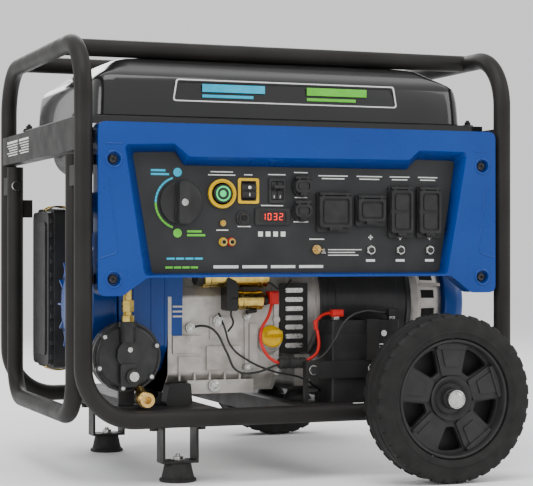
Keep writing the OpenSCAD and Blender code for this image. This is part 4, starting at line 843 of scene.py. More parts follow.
red_rubber = finish_of(
    "red_rubber", (0.42, 0.008, 0.006), (0.56, 0.016, 0.012), 0.02, (0.34, 0.46), 0.0008, 0.00005)
wire("red_lead", [(-30, -212, 286), (-39, -218, 264), (-55, -224, 237), (-51, -228, 208),
    (-32, -231, 189), (-14, -231, 187), (10, -231, 187), (35, -234, 197), (41, -237, 208),
    (39, -239, 236), (36, -238, 249), (43, -237, 260), (54, -237, 266), (72, -237, 267)], 2.6,
    red_rubber, "frame")
wire("black_lead", [(-164, -200, 246), (-148, -204, 248), (-132, -209, 242), (-111, -214, 206),
    (-92, -214, 174), (-62, -217, 171), (-24, -231, 184), (8, -236, 183), (38, -247, 193),
    (58, -262, 221), (80, -262, 256), (116, -252, 270), (156, -239, 267), (175, -237, 267)], 1.9,
    black_moulding, "frame")
boots = bmesh.new()
for low, high in (((-38, -222, 282), (-22, -200, 304)), ((64, -245, 261), (84, -229, 273))):
    brick(boots, low, high)
    brick(boots, Vector(low) + Vector((2, -1.5, 2)), (high[0] - 2, low[1] + 2, high[2] - 2))
rod(boots, (36, -237.5, 256), (36, -238.5, 240), 4, 3.2)
make_piece("terminal_boots", boots, red_rubber, "frame", edge=1.6,
    stands_for=("battery_leads",))
black_boot = bmesh.new()
brick(black_boot, (166, -245, 261), (186, -229, 273))
make_piece("black_boot", black_boot, soft_rubber, "frame", edge=1.6)
sleeve = bmesh.new()
lathe(sleeve, [(-27, 4), (-27, 7.5), (-25, 9), (-12, 9), (-11, 7.6), (-8, 7.6), (-7, 9), (6, 9),
    (7, 7.6), (10, 7.6), (11, 9), (19, 9), (21, 7.5), (21, 4)], (0, -231, 186), (1, 0, 0), 32,
    closed=True)
make_piece("lead_sleeve", sleeve, soft_rubber, "frame")
for name, route in (("engine_loom", [(-118, -196, 268), (-112, -206, 246), (-100, -206, 214),
        (-70, -206, 190), (-30, -214, 172), (20, -214, 160), (70, -196, 130)]),
        ("sender_wire", [(-86, -198, 300), (-96, -216, 290), (-104, -216, 268), (-98, -210, 252),
        (-104, -202, 238)]), ("pump_wire", [(-60, -200, 312), (-40, -214, 318), (-14, -212, 306),
        (6, -204, 322)])):
    wire(name, route, 1.7, black_moulding, "frame")

# ---------------------------------------------------------------- gas regulator and fittings
# A round die-cast gas regulator in black, crimped together by a ring of plated screws,
# with a brass inlet, a plated adjuster cap and a gold-zinc outlet pipe.
regulator_black = finish_of("regulator_black", (0.016, 0.016, 0.017), (0.032, 0.032, 0.033), 0.02,
    (0.3, 0.46), 0.0012, 0.0002, metal=0.2, coat=0.1)
valve = Vector((-281, 0, 202))
body = bmesh.new()
lathe(body, [(-228, 0), (-228, 46), (-226.5, 50), (-224, 52), (-222.5, 52.5), (-222, 56),
    (-214, 56), (-213, 55), (-211, 55), (-210, 56), (-202, 56), (-201.5, 45), (-199, 42),
    (-196, 40), (-196, 0)], valve, (0, 1, 0), 96)
keyhole = soften([(-13, -47), (11, -47), (11, -14), (19, 0), (16, 16), (8, 27), (8, 46), (-10, 46),
    (-10, 26), (-19, 14), (-21, -2), (-13, -14)], 7)
sheet(body, [[point + Vector((valve.x, valve.z)) for point in keyhole]], -239, -226)
sheet(body, [rounded(-297, 156, -269, 192, 5)], -242, -236)
rod(body, (-283, -232, 226), (-283, -232, 258), 12.5)
rod(body, (-283, -232, 250), (-283, -232, 258), 15, 14)
rod(body, (-277, -248, 172), (-277, -238, 172), 12)
for tab in range(6):
    turn = math.radians(tab * 60 + 20)
    rod(body, valve + Vector((math.cos(turn) * 50, -229, math.sin(turn) * 50)),
        valve + Vector((math.cos(turn) * 50, -200, math.sin(turn) * 50)), 6)
brick(body, (-297, -236, 121), (-261, -202, 124))
brick(body, (-292, -212, 122), (-266, -206, 160))
make_piece("regulator_body", body, regulator_black, "frame", edge=0.9,
    stands_for=("gas_regulator",))
rim_screws = bmesh.new()
for tab in range(6):
    turn = math.radians(tab * 60 + 20)
    spot = valve + Vector((math.cos(turn) * 50, 0, math.sin(turn) * 50))
    rod(rim_screws, spot + Vector((0, -231.4, 0)), spot + Vector((0, -229, 0)), 3.2, 4)
rod(rim_screws, (-281, -239.2, 214), (-281, -241.5, 214), 5, 4)
rod(rim_screws, (-277, -248, 172), (-277, -250.8, 172), 8.5, 7.6)
make_piece("regulator_screws", rim_screws, bright_zinc_and_highlight, "frame", edge=0.3)

brass = finish_of(
    "brass", (0.52, 0.33, 0.1), (0.7, 0.48, 0.18), 0.01, (0.2, 0.36), 0.0008, 0.00004, metal=1.0)
inlet = bmesh.new()
rod(inlet, (-261, -256, 136), (-261, -238, 136), 12.6, sides=6)
thread = [(-269.4, 6)]
for turn in range(6):
    y = -269.4 + turn * 2.2
    thread += [(y, 11.4), (y + 1.1, 12.4)]
thread += [(-256, 11.4), (-256, 12.4), (-246, 12.4), (-246, 6)]
lathe(inlet, thread, (-261, 0, 136), (0, 1, 0), 48, closed=True)
rod(inlet, (-261, -244, 136), (-261, -224, 150), 7)
make_piece("gas_inlet", inlet, brass, "frame", edge=0.3, stands_for=("regulator_fittings",))
pipe = bmesh.new()
rod(pipe, (-283, -232, 258), (-283, -232, 268), 11, sides=6)
rod(pipe, (-283, -232, 268), (-283, -232, 274), 7)
rod(pipe, (-283, -232, 274), (-283, -232, 292), 10.4, sides=6)
lathe(pipe, [(292, 0), (292, 7.5), (388, 7.5), (390, 9), (402, 9), (402, 0)], (-283, -232, 0),
    (0, 0, 1), 32)
make_piece("outlet_pipe", pipe, gold_zinc, "frame", edge=0.3)

# ---------------------------------------------------------------- fuel tank
# Two pressed steel halves seamed at a flat flange and painted gloss black, with two
# broad raised fields on top of soft shoulders, and a generic printed band on its front whose white
# outline is a painted highlight along the edge of the band's recess.
tank_black = finish_of("tank_black", (0.009, 0.009, 0.0095), (0.014, 0.014, 0.0145), 0.2,
    (0.14, 0.24), 0.0016, 0.00006, coat=0.5)
CAP_X = -88
tank_low = seat("fuel_tank")[0]
base_z = tank_low.z + 3
shell = bmesh.new()
levels = [(-3, -2, -2), (-3, -25, -5), (0, -26, -6), (0, 2, 2), (1.5, 0, 0), (22, 1, 1),
    (40, 2.5, 2.5), (56, 5, 5), (63, 8, 7), (69, 14, 13), (74, 22, 20), (82, 32, 36), (90, 42, 50),
    (95, 50, 58), (99, 62, 70), (102, 80, 86), (104, 100, 106)]
loops = []
for rise, ends, sides in levels:
    x0, x1, y0, y1 = -335 + ends, 315 - ends, -225 + sides, 185 - sides
    line = rounded(x0, y0, x1, y1, 30, 8)
    loops.append([shell.verts.new((x, y, base_z + rise)) for x, y in line])
rims = [[shell.edges.new((a, b)) for a, b in zip(loop, loop[1:] + loop[:1])] for loop in loops]
for lower, upper in zip(rims, rims[1:]):
    bmesh.ops.bridge_loops(shell, edges=lower + upper)
shell.faces.new(loops[0])
shell.faces.new(loops[-1])
for low, high in (((-250, -110), (-10, 110)), ((20, -110), (210, 110))):
    sheet(shell, [rounded(low[0], low[1], high[0], high[1], 34, 8)], base_z + 103, base_z + 105.4,
        "XY")
brick(shell, (-349, -231, base_z - 13.5), (349, -229.2, base_z - 1))
lathe(shell, [(-2, 46), (1, 45.6), (4, 42), (4.4, 36), (0, 34)], (CAP_X, 0, base_z + 104),
    (0, 0, 1), 64)
make_piece("tank_shell", shell, tank_black, "frame", edge=0.8,
    stands_for=("fuel_tank",), crease=42)

band_cyan = finish_of(
    "band_cyan", (0.0, 0.36, 0.55), (0.01, 0.44, 0.66), 0.02, (0.3, 0.4), 0.0006, 0.00002)
band_green = finish_of(
    "band_green", (0.1, 0.46, 0.03), (0.14, 0.56, 0.05), 0.02, (0.3, 0.4), 0.0006, 0.00002)
# The white outline round the band is a painted highlight: it stands in for the light caught by the
# edge of the band's recess in the tank front.
band = bmesh.new()
outer = soften([(-206, 610), (190, 610), (184, 646), (-200, 646)], 5)
inner = soften([(-203.6, 612), (187.6, 612), (182, 644), (-198, 644)], 4)
sheet(band, [outer, inner], -224.8, -223.6)
make_piece("tank_band_highlight", band, print_and_highlight_white, "frame")
for name, x, material in (("tank_band_cyan", -156, band_cyan), ("tank_band_green", 26, band_green)):
    bars = bmesh.new()
    brick(bars, (x, -224.8, 617), (x + 88, -223.6, 622))
    brick(bars, (x, -224.8, 626), (x + 108, -223.6, 639))
    make_piece(name, bars, material, "frame", edge=0.4)

cap_low, cap_high = seat("fuel_cap")
filler = bmesh.new()
lathe(filler, [(cap_low.z, 0), (cap_low.z, 38), (cap_low.z + 1.5, 41), (cap_high.z - 4, 40.5),
    (cap_high.z - 1, 38), (cap_high.z, 34), (cap_high.z, 24), (cap_high.z - 1.2, 22),
    (cap_high.z - 1.2, 0)], (CAP_X, 0, 0), (0, 0, 1), 96)
for rib in range(36):
    turn = rib * math.pi / 18
    spot = Vector((CAP_X + math.cos(turn) * 39.6, math.sin(turn) * 39.6, 0))
    rod(filler, spot + Vector((0, 0, cap_low.z + 2)), spot + Vector((0, 0, cap_high.z - 3.4)), 1.3,
        sides=8)
for arm in (0, 1):
    bar = brick(filler, (-22, -3, -2), (22, 3, 0.4))
    bmesh.ops.transform(filler, matrix=Matrix.Translation((CAP_X, 0,
        cap_high.z - 0.4)) @ Matrix.Rotation(arm * math.pi / 2, 4, "Z"), verts=bar)
make_piece("filler_cap", filler, black_moulding, "cap", edge=0.5,
    stands_for=("fuel_cap",))

GAUGE_X = 162
gauge_low, gauge_high = seat("fuel_gauge")
gauge_white = finish_of("gauge_white", (0.7, 0.7, 0.68), (0.78, 0.78, 0.76), 0.02, (0.12, 0.2),
    0.0006, 0.00002, coat=0.6)
dial = bmesh.new()
lathe(dial, [(gauge_low.z, 0), (gauge_low.z, 24), (gauge_high.z - 1, 24), (gauge_high.z, 22.5),
    (gauge_high.z, 19), (gauge_high.z - 1.5, 18), (gauge_high.z - 1.5, 0)], (GAUGE_X, 0, 0),
    (0, 0, 1), 64)
make_piece("gauge_bezel", dial, black_moulding, "frame", edge=0.4)
face = bmesh.new()
rod(face, (GAUGE_X, 0, gauge_high.z - 1.6), (GAUGE_X, 0, gauge_high.z - 0.8), 17.8, sides=64)
make_piece("gauge_face", face, gauge_white, "frame", edge=0.2, stands_for=("fuel_gauge",))
needle = bmesh.new()
brick(needle, (161.3, -10, gauge_high.z - 0.9), (162.7, 11, gauge_high.z - 0.4),
    Matrix.Rotation(0.9, 4, "Z"))
for mark in range(5):
    turn = math.radians(30 + 30 * mark)
    rod(needle, (GAUGE_X + math.cos(turn) * 14, math.sin(turn) * 14, gauge_high.z - 0.9),
        (GAUGE_X + math.cos(turn) * 14, math.sin(turn) * 14, gauge_high.z - 0.5), 1.1, sides=12)
make_piece("gauge_needle", needle, red_rubber, "frame")
give("tank_mounts", soft_rubber)
give("vapour_canister", black_moulding)

# ---------------------------------------------------------------- fold handle
# The carrying handle is the same coated tube; the pivot pin of each leg shows a round
# head on both faces of the leg.
PIN_X, PIN_Z = -365, 487
fold_high = seat("fold_handle")[1]
pins = bmesh.new()
for side in (-1, 1):
    for way in (-1, 1):
        leg_face = side * (fold_high.y - 14.3) + way * 14.3
        rod(pins, (PIN_X, leg_face - way * 1.5, PIN_Z), (PIN_X, leg_face + way * 1.6, PIN_Z), 9.5,
            8.6)
        rod(pins, (PIN_X, leg_face + way * 1.6, PIN_Z), (PIN_X, leg_face + way * 3.4, PIN_Z), 7.6,
            5)
make_piece("handle_pin_heads", pins, bright_zinc_and_highlight, "handle", edge=0.4)

# ---------------------------------------------------------------- fascia
# One large blue injection moulding, 3 mm thick: rounded outer edges, a sunken bay with
# sloping walls for the control plate, and four screw pockets with raised rings.
blue_plastic = finish_of("blue_plastic", (0.0, 0.034, 0.21), (0.0, 0.041, 0.24), 0.12, (0.24, 0.34),
    0.0009, 0.00007, coat=0.12)
face_low, face_high = seat("panel_fascia")
front_y, back_y = face_low.y, face_high.y
plate_y = seat("control_plate")[0].y
outline = soften([(-345, 300), (-306, 300), (-266, 328), (262, 328), (300, 300), (345, 300),
    (345, 570), (-345, 570)], 13)
bay_front = soften([(-271, 331.5), (255, 331.5), (292, 535), (203, 536), (184, 520), (-197, 518),
    (-222, 538), (-303, 535)], 7)
bay_back = soften([(-252, 335), (250, 335), (279, 521), (207, 522), (190, 505), (-200, 505),
    (-215, 526), (-284, 524)], 6)
SCREW_SPOTS = [(x, z) for x in (-320, 320) for z in (326, 512)]
pockets = [ring(spot, 10.5, 40) for spot in SCREW_SPOTS]
fascia = bmesh.new()
loops = []
for line in [outline, bay_front] + pockets:
    verts = [fascia.verts.new((x, front_y, z)) for x, z in line]
    loops.append([fascia.edges.new((a, b)) for a, b in zip(verts, verts[1:] + verts[:1])])
bmesh.ops.triangle_fill(fascia, edges=[line for loop in loops for line in loop], use_beauty=True)
for number, loop in enumerate(loops):
    made = bmesh.ops.extrude_edge_only(fascia, edges=loop)["geom"]
    verts = verts_of(made)
    deep = back_y if number == 0 else plate_y - 0.4 if number == 1 else front_y + 7
    for vert in verts:
        if number == 1:
            near = min(range(len(bay_front)),
                key=lambda i: (bay_front[i] - Vector((vert.co.x, vert.co.z))).length)
            vert.co.x, vert.co.z = bay_back[near]
        vert.co.y = deep
    if number > 1:
        bmesh.ops.contextual_create(fascia, geom=[item for item in made
            if isinstance(item, bmesh.types.BMEdge) and item.is_boundary])
shell = make_piece("front_fascia", fascia, blue_plastic, "frame", edge=2.4,
    stands_for=("panel_fascia",), crease=40)
wall = shell.modifiers.new("wall", "SOLIDIFY")
wall.thickness = 0.0028
wall.offset = -1
wall.use_even_offset = True

trim = bmesh.new()
for x, z in SCREW_SPOTS:
    lathe(trim, [(front_y + 0.6, 10.6), (front_y - 1.1, 11.2), (front_y - 1.6, 12.2),
        (front_y - 1.1, 13.6), (front_y + 0.6, 14.4)], (x, 0, z), (0, 1, 0), 48, closed=True)
for side in (-1, 1):
    for path in (((333, 536), (306, 536)), ((327, 484), (314, 376)), ((314, 376), (317, 366)),
            ((317, 366), (343, 358))):
        (x0, z0), (x1, z1) = ((side * x, z) for x, z in path)
        rod(trim, (x0, front_y + 0.4, z0), (x1, front_y + 0.4, z1), 1.3, sides=16)
make_piece("fascia_trim", trim, blue_plastic, "frame", edge=0.5)

dark_screw = finish_of("dark_screw", (0.03, 0.03, 0.032), (0.06, 0.06, 0.064), 0.004, (0.25, 0.4),
    0.0006, 0.00003, metal=0.9)
give("panel_screws", dark_screw)
heads = bmesh.new()
for x, z in SCREW_SPOTS:
    lathe(heads, [(front_y + 7, 0), (front_y + 7, 7.4), (front_y + 4, 7), (front_y + 2.6, 5),
        (front_y + 2.2, 2.6), (front_y + 3.4, 0)], (x, 0, z), (0, 1, 0), 32)
make_piece("screw_heads", heads, dark_screw, "frame", stands_for=("panel_screws",))
crosses = bmesh.new()
for x, z in SCREW_SPOTS:
    for turn in (0.4, 0.4 + math.pi / 2):
        brick(crosses, (x - 4.2, front_y + 2.0, z - 0.8), (x + 4.2, front_y + 3.6, z + 0.8),
            Matrix.Rotation(turn, 4, "Y"))
make_piece("screw_crosses", crosses, shadow_black, "frame")

# ---------------------------------------------------------------- control plate
# A dark grey steel plate with a fine textured coat, printed with plain rules, symbols
# and dots. The marks are generic: no words are drawn.
plate_grey = finish_of("plate_grey", (0.016, 0.0165, 0.0175), (0.025, 0.0255, 0.027), 0.05,
    (0.5, 0.62), 0.0006, 0.00008)
give("control_plate", plate_grey)
give("panel_box", sheet_coat)
FACE_Y = -262
marks = bmesh.new()


def mark(x0, z0, x1, z1, turn=0.0):
    """Adds one flat printed mark on the plate."""
    brick(marks, (x0, plate_y - 0.25, z0), (x1, plate_y + 0.3, z1), Matrix.Rotation(turn, 4, "Y"))


for x, z, wide in ((-136, 490, 46), (-136, 495, 38), (-91, 491, 14), (-42, 492, 30), (57, 487, 40),
        (57, 491.5, 52), (122, 487, 36), (122, 491.5, 46), (177, 487, 28), (177, 491.5, 36),
        (229, 487, 28), (229, 491.5, 36), (0, 496, 24), (-50, 442, 38), (28, 388, 26),
        (-135, 402, 20), (-98, 408, 22), (0, 416, 26), (0, 455.5, 22)):
    mark(x - wide / 2, z, x + wide / 2, z + 1.7)
for x in (-70, -57, -44, -31):
    mark(x - 4, 393, x + 4, 401)
RESET_X = (124, 178, 232)
for x in RESET_X:
    mark(x - 8, 352, x + 8, 356)
for x in RESET_X:
    mark(x - 1, 388, x + 1, 396)
    mark(x - 4, 391, x + 4, 393)
for z, wide in ((371, 60), (366.5, 48), (362, 54)):
    mark(48, z, 48 + wide, z + 1.5)
for high in (0, 1, 2):
    mark(40 - 4 + high * 1.2, 366 + high * 3, 44 - high * 1.2, 367 + high * 3)
make_piece("plate_print", marks, print_and_highlight_white, "frame")
for name, first, dot_z, words_x, material in (("legend_cyan", 112, 494, -254, band_cyan),
        ("legend_green", 184, 398, -194, band_green)):
    legend = bmesh.new()
    for step in range(9):
        turn = math.radians(first + step * 8)
        spot = Vector((-205, 446)) + heading(turn) * 41
        brick(legend, (spot.x - 2.6, plate_y - 0.25, spot.y - 1.6),
            (spot.x + 2.6, plate_y + 0.3, spot.y + 1.6),
            Matrix.Rotation(-turn - math.pi / 2, 4, "Y"))
    rod(legend, (-210, plate_y + 0.3, dot_z), (-210, plate_y - 0.3, dot_z), 7)
    brick(legend, (-211, plate_y - 0.25, min(dot_z, 490 if dot_z > 446 else dot_z)),
        (-209, plate_y + 0.3, 402 if dot_z < 446 else 498))
    for row in (0, 6):
        brick(legend, (words_x, plate_y - 0.25, dot_z - 5 + row),
            (words_x + 30 - row, plate_y + 0.3, dot_z - 1.6 + row))
    make_piece(name, legend, material, "frame")
for name, x0, z0, wide, tall, material in (("name_bar_blue", -228, 356, 62, 9, band_cyan),
        ("name_bar_green", -230, 342, 56, 9, band_green),
        ("name_bar_white", -150, 342, 196, 13, print_and_highlight_white)):
    bar = bmesh.new()
    for part in range(4):
        brick(bar, (x0 + part * wide / 4, plate_y - 0.25, z0),
            (x0 + (part + 0.86) * wide / 4, plate_y + 0.3, z0 + tall * 0.36))
    make_piece(name, bar, material, "frame")

# ---------------------------------------------------------------- fuel selector
# A round black knob with a raised grip bar, held by a centre screw; the bar points to
# the fuel in use.
knob_low, knob_high = seat("selector_knob")
knob = bmesh.new()
knob_x, knob_z = -205, 446
lathe(knob, [(knob_high.y, 0), (knob_high.y, 34), (-263.4, 35), (-265.6, 35), (-267, 34),
    (-267.6, 32), (-267.6, 0)], (knob_x, 0, knob_z), (0, 1, 0), 96)
for nub in range(40):
    turn = nub * math.pi / 20
    spot = Vector((knob_x + math.cos(turn) * 34.4, 0, knob_z + math.sin(turn) * 34.4))
    rod(knob, spot + Vector((0, -263, 0)), spot + Vector((0, -266.4, 0)), 0.9, sides=8)
grip_line = soften([(-10, -33), (10, -33), (8.5, 33), (-8.5, 33)], 5)
sheet(knob, [[p + Vector((knob_x, knob_z)) for p in grip_line]], knob_low.y, -267)
sheet(knob, [[p * 1.22 + Vector((knob_x, knob_z))
    for p in soften([(-10, -28), (10, -28), (8.5, 28), (-8.5, 28)], 6)]], -272, -267)
make_piece("selector_grip", knob, black_moulding, "selector", edge=1.4,
    stands_for=("selector_knob",))
knob_screw = bmesh.new()
rod(knob_screw, (knob_x, knob_low.y - 0.9, knob_z), (knob_x, knob_low.y + 0.4, knob_z), 5, 6)
brick(knob_screw, (knob_x - 4, knob_low.y - 1.1, knob_z - 0.7),
    (knob_x + 4, knob_low.y - 0.6, knob_z + 0.7))
make_piece("selector_screw", knob_screw, bright_zinc_and_highlight, "selector", edge=0.2)

# ---------------------------------------------------------------- start button and switches
# A yellow collar with a lit green ring round the start button, a battery rocker in a yellow
# surround, and a pair of breaker toggles in a black bezel.
start_x, start_z = -136, 461
lit_green = finish_of(
    "lit_green", (0.0, 0.5, 0.12), (0.02, 0.7, 0.2), 0.006, (0.2, 0.3), 0.0006, 0.00002, coat=0.4)
set_input(lit_green, "Emission Color", (0.02, 0.8, 0.2, 1))
set_input(lit_green, "Emission Strength", 0.35)
surround = bmesh.new()
lathe(surround, [(FACE_Y, 17.6), (FACE_Y, 23.5), (-265.8, 23.5), (-267, 22.6), (-267, 20),
    (-265.6, 19.4), (-265.6, 17.6)], (start_x, 0, start_z), (0, 1, 0), 72, closed=True)
rock_x, rock_z = -91, 466
frame_out = rounded(rock_x - 18, rock_z - 20.5, rock_x + 18, rock_z + 20.5, 4)
frame_in = rounded(rock_x - 13, rock_z - 16, rock_x + 13, rock_z + 16, 2)
sheet(surround, [frame_out, frame_in], -264.4, FACE_Y)
make_piece("switch_surrounds", surround, safety_yellow, "frame", edge=0.6,
    stands_for=("switch_bezels",))

button = bmesh.new()
button_low = seat("start_button")[0]
lathe(button, [(-261, 0), (-261, 15), (button_low.y + 1.4, 15), (button_low.y + 0.2, 13.8),
    (button_low.y, 12), (button_low.y + 1.2, 6), (button_low.y + 1.5, 0)], (start_x, 0, start_z),
    (0, 1, 0), 64)
make_piece("start_push", button, black_moulding, "start",
    stands_for=("start_button",))
glow = bmesh.new()
lathe(glow, [(button_low.y - 0.15, 9.6), (button_low.y - 0.15, 12.2), (button_low.y + 0.9, 12.2),
    (button_low.y + 0.9, 9.6)], (start_x, 0, start_z), (0, 1, 0), 64, closed=True)
rod(glow, (start_x, button_low.y + 1.6, start_z), (start_x, button_low.y + 0.9, start_z), 5.4)
make_piece("start_glow", glow, lit_green, "start")

rocker = bmesh.new()
rock = []
for step in range(13):
    turn = math.radians(-58 + step * 116 / 12)
    rock.append((-259 - math.cos(turn) * 11.6 + (3.4 if abs(step - 6) < 1 else 1.0),
        rock_z + math.sin(turn) * 17 / 1.18))
rock += [(-258, rock_z + 12), (-258, rock_z - 12)]
verts = [rocker.verts.new((rock_x - 12, y, z)) for y, z in rock]
side = rocker.faces.new(verts)
moved = bmesh.ops.extrude_face_region(rocker, geom=[side])["geom"]
bmesh.ops.translate(rocker, vec=(24, 0, 0), verts=verts_of(moved))
make_piece("battery_rocker", rocker, black_moulding, "rocker", edge=0.8,
    stands_for=("rocker_switch",))
rock_print = bmesh.new()
rod(rock_print, (rock_x, -269.3, rock_z + 5.4), (rock_x, -268.6, rock_z + 5.4), 2.6)
brick(rock_print, (rock_x - 0.6, -269.3, rock_z - 8.5), (rock_x + 0.6, -268.5, rock_z - 3.5))
make_piece("rocker_print", rock_print, print_and_highlight_white, "rocker")

twin_x, twin_z = -42, 467
bezel = bmesh.new()
twin_out = rounded(twin_x - 14, twin_z - 20, twin_x + 14, twin_z + 20, 3)
twin_in = rounded(twin_x - 10.6, twin_z - 15, twin_x + 10.6, twin_z + 15, 2)
sheet(bezel, [twin_out, twin_in], -265, FACE_Y)
make_piece("breaker_bezel", bezel, black_moulding, "frame", edge=0.6)
toggles = bmesh.new()
for x in (twin_x - 5.2, twin_x + 5.2):
    brick(toggles, (x - 4.6, -264.2, twin_z - 14.4), (x + 4.6, -259, twin_z + 14.4))
    brick(toggles, (x - 3.4, -275.6, twin_z + 1), (x + 3.4, -263, twin_z + 6.6),
        Matrix.Rotation(math.radians(-22), 4, "X"))
brick(toggles, (twin_x - 8, -276, twin_z + 3), (twin_x + 8, -273, twin_z + 8.2),
    Matrix.Rotation(math.radians(-22), 4, "X"))
make_piece("breaker_toggles", toggles, black_moulding, "breaker", edge=0.7,
    stands_for=("twin_breaker",))
toggle_print = bmesh.new()
for x in (twin_x - 5.2, twin_x + 5.2):
    brick(toggle_print, (x - 0.5, -264.5, twin_z - 12), (x + 0.5, -264, twin_z - 7.6))
make_piece("toggle_print", toggle_print, print_and_highlight_white, "breaker")

# ---------------------------------------------------------------- display, lamp and jacks
# A meter with a red segment read-out behind a smoked window, an amber pilot lamp, a small
# black socket and a pair of gold-plated test jacks.
meter = bmesh.new()
meter_x, meter_z = -50, 425
case_line = rounded(meter_x - 30, meter_z - 13.5, meter_x + 30, meter_z + 13.5, 3)
window_line = rounded(meter_x - 23.5, meter_z - 8.5, meter_x + 23.5, meter_z + 8.5, 1.5)
sheet(meter, [case_line, window_line], -265, FACE_Y)
make_piece("meter_frame", meter, black_moulding, "frame", edge=0.7)
smoked = finish_of("smoked_window", (0.006, 0.002, 0.002), (0.009, 0.003, 0.003), 0.02,
    (0.08, 0.12), 0.0008, 0.00001, coat=0.7)
window = bmesh.new()
brick(window, (meter_x - 23.5, -263.2, meter_z - 8.5), (meter_x + 23.5, -260.5, meter_z + 8.5))
make_piece("meter_window", window, smoked, "frame", edge=0.3,
    stands_for=("display_module",))
led_red = finish_of(
    "led_red", (0.8, 0.01, 0.006), (0.95, 0.02, 0.01), 0.002, (0.3, 0.4), 0.0006, 0.00001)
set_input(led_red, "Emission Color", (1, 0.03, 0.015, 1))
set_input(led_red, "Emission Strength", 1.6)
digits = bmesh.new()
for place, lit in enumerate(("bc", "abcdef", "abcdg", "abged")):
    x = meter_x - 15 + place * 10
    for name, dx, dz, wide, tall in (("a", 0, 5, 5, 1.1), ("g", 0, 0, 5, 1.1), ("d", 0, -5, 5, 1.1),
            ("f", -2.6, 2.6, 1.1, 4.4), ("b", 2.6, 2.6, 1.1, 4.4), ("e", -2.6, -2.6, 1.1, 4.4),
            ("c", 2.6, -2.6, 1.1, 4.4)):
        if name in lit:
            brick(digits, (x + dx - wide / 2, -263.7, meter_z + dz - tall / 2),
                (x + dx + wide / 2, -263, meter_z + dz + tall / 2))
make_piece("meter_digits", digits, led_red, "frame")
amber = finish_of(
    "amber_lamp", (0.6, 0.22, 0.0), (0.72, 0.3, 0.0), 0.004, (0.1, 0.2), 0.0006, 0.00001, coat=0.6)
lamp = bmesh.new()
lathe(lamp, [(-259, 5), (-263, 5), (-265, 4), (-266, 2), (-266.2, 0)], (-135, 0, 414), (0, 1, 0),
    32)
make_piece("pilot_lamp", lamp, amber, "frame")
give("panel_jacks", gold_zinc)
holes = bmesh.new()
for x in (-134, -120):
    rod(holes, (x, -268.2, 384), (x, -266, 384), 3.2)
rod(holes, (-100, -268.6, 422), (-100, -266, 422), 5)
make_piece("jack_holes", holes, shadow_black, "frame")
for name, x, material, slot in (("jack_ring_yellow", -134, safety_yellow, "yellow_plastic"),
        ("jack_ring_red", -120, red_rubber, "red_lead")):
    jack = bmesh.new()
    lathe(jack, [(FACE_Y, 5.7), (FACE_Y, 6.9), (-264.4, 6.9), (-265, 6.4), (-265, 5.7)],
        (x, 0, 384), (0, 1, 0), 40, closed=True)
    make_piece(name, jack, material, "frame")
socket = bmesh.new()
lathe(socket, [(FACE_Y, 5.4), (FACE_Y, 12), (-264.6, 12), (-265.6, 11), (-265.6, 8.2),
    (-268.4, 8.2), (-268.4, 5.4)], (-100, 0, 422), (0, 1, 0), 48, closed=True)
make_piece("socket_collar", socket, black_moulding, "frame", edge=0.3)

# ---------------------------------------------------------------- outlets and their flip covers
# Black moulded frames on the plate hold the outlets. Each has a sprung flip cover with a
# raised rim, an inset centre, a scalloped lift tab below and a hinge rod above.
outlet_black = finish_of("outlet_black", (0.012, 0.012, 0.012), (0.022, 0.022, 0.022), 0.015,
    (0.38, 0.54), 0.0007, 0.00012)
give("receptacles", outlet_black)


def flip_cover(name, node, body, wide, tall, round_lid=False, split=False):
    low, high = seat(node)
    x = (low.x + high.x) / 2
    top = high.z
    bm = bmesh.new()
    z1 = top - 5.4
    z0 = z1 - tall + 12
    half = wide / 2 - 1.6
    line = rounded(x - half, z0, x + half, z1, 15 if round_lid else 6)
    sheet(bm, [line], -271.6, -267.8)
    rise = [rounded(x - half + s, z0 + s, x + half - s, z1 - s, 13 if round_lid else 5)
            for s in (1.2, 5.4)]
    sheet(bm, rise, low.y + 0.2, -271.4)
    if round_lid:
        rod(bm, (x, -273.4, (z0 + z1) / 2), (x, -271, (z0 + z1) / 2), half - 7, sides=48)
    else:
        pads = ((z0 + 8.6, (z0 + z1) / 2 - 2.4),
            ((z0 + z1) / 2 + 2.4, z1 - 8.6)) if split else ((z0 + 8.6, z1 - 8.6),)
        for a, b in pads:
            sheet(bm, [rounded(x - half + 9, a, x + half - 9, b, 5)], -273.2, -271.4)
    if split:
        brick(bm, (x - half - 0.6, -273.6, (z0 + z1) / 2 - 4),
            (x - half + 5, -268, (z0 + z1) / 2 + 4))
    tab = soften([(x - half * 0.42, z0 + 2), (x - half * 0.34, z0 - 4.2),
        (x + half * 0.34, z0 - 4.2), (x + half * 0.42, z0 + 2)], 3)
    sheet(bm, [tab], -274, -268.4)
    for groove in (-2, 0, 2):
        rod(bm, (x + groove * 2.4 - 1, -274.2, z0 - 2.2), (x + groove * 2.4 + 1, -274.2, z0 - 2.2),
            0.9, sides=8)
    rod(bm, (x - half + 2, -270.7, top - 3.2), (x + half - 2, -270.7, top - 3.2), 3.0)
    brick(bm, (x - half + 6, -271.6, z1 - 2), (x + half - 6, -268.6, top - 3))
    make_piece(name, bm, outlet_black, body, edge=0.7, stands_for=(node,))


flip_cover("upper_round_lid", "upper_round_cover", "round_lid_upper", 35, 35, round_lid=True)
flip_cover("lower_round_lid", "lower_round_cover", "round_lid_lower", 35, 35, round_lid=True)
flip_cover("lid_50a_outlet", "cover_50a", "lid_50a", 62, 65)
flip_cover("lid_30a_outlet", "cover_30a", "lid_30a", 54, 51)
flip_cover("lid_duplex_outlet_left", "left_duplex_cover", "lid_duplex_left", 45, 85, split=True)
flip_cover("lid_duplex_outlet_right", "right_duplex_cover", "lid_duplex_right", 45, 85, split=True)

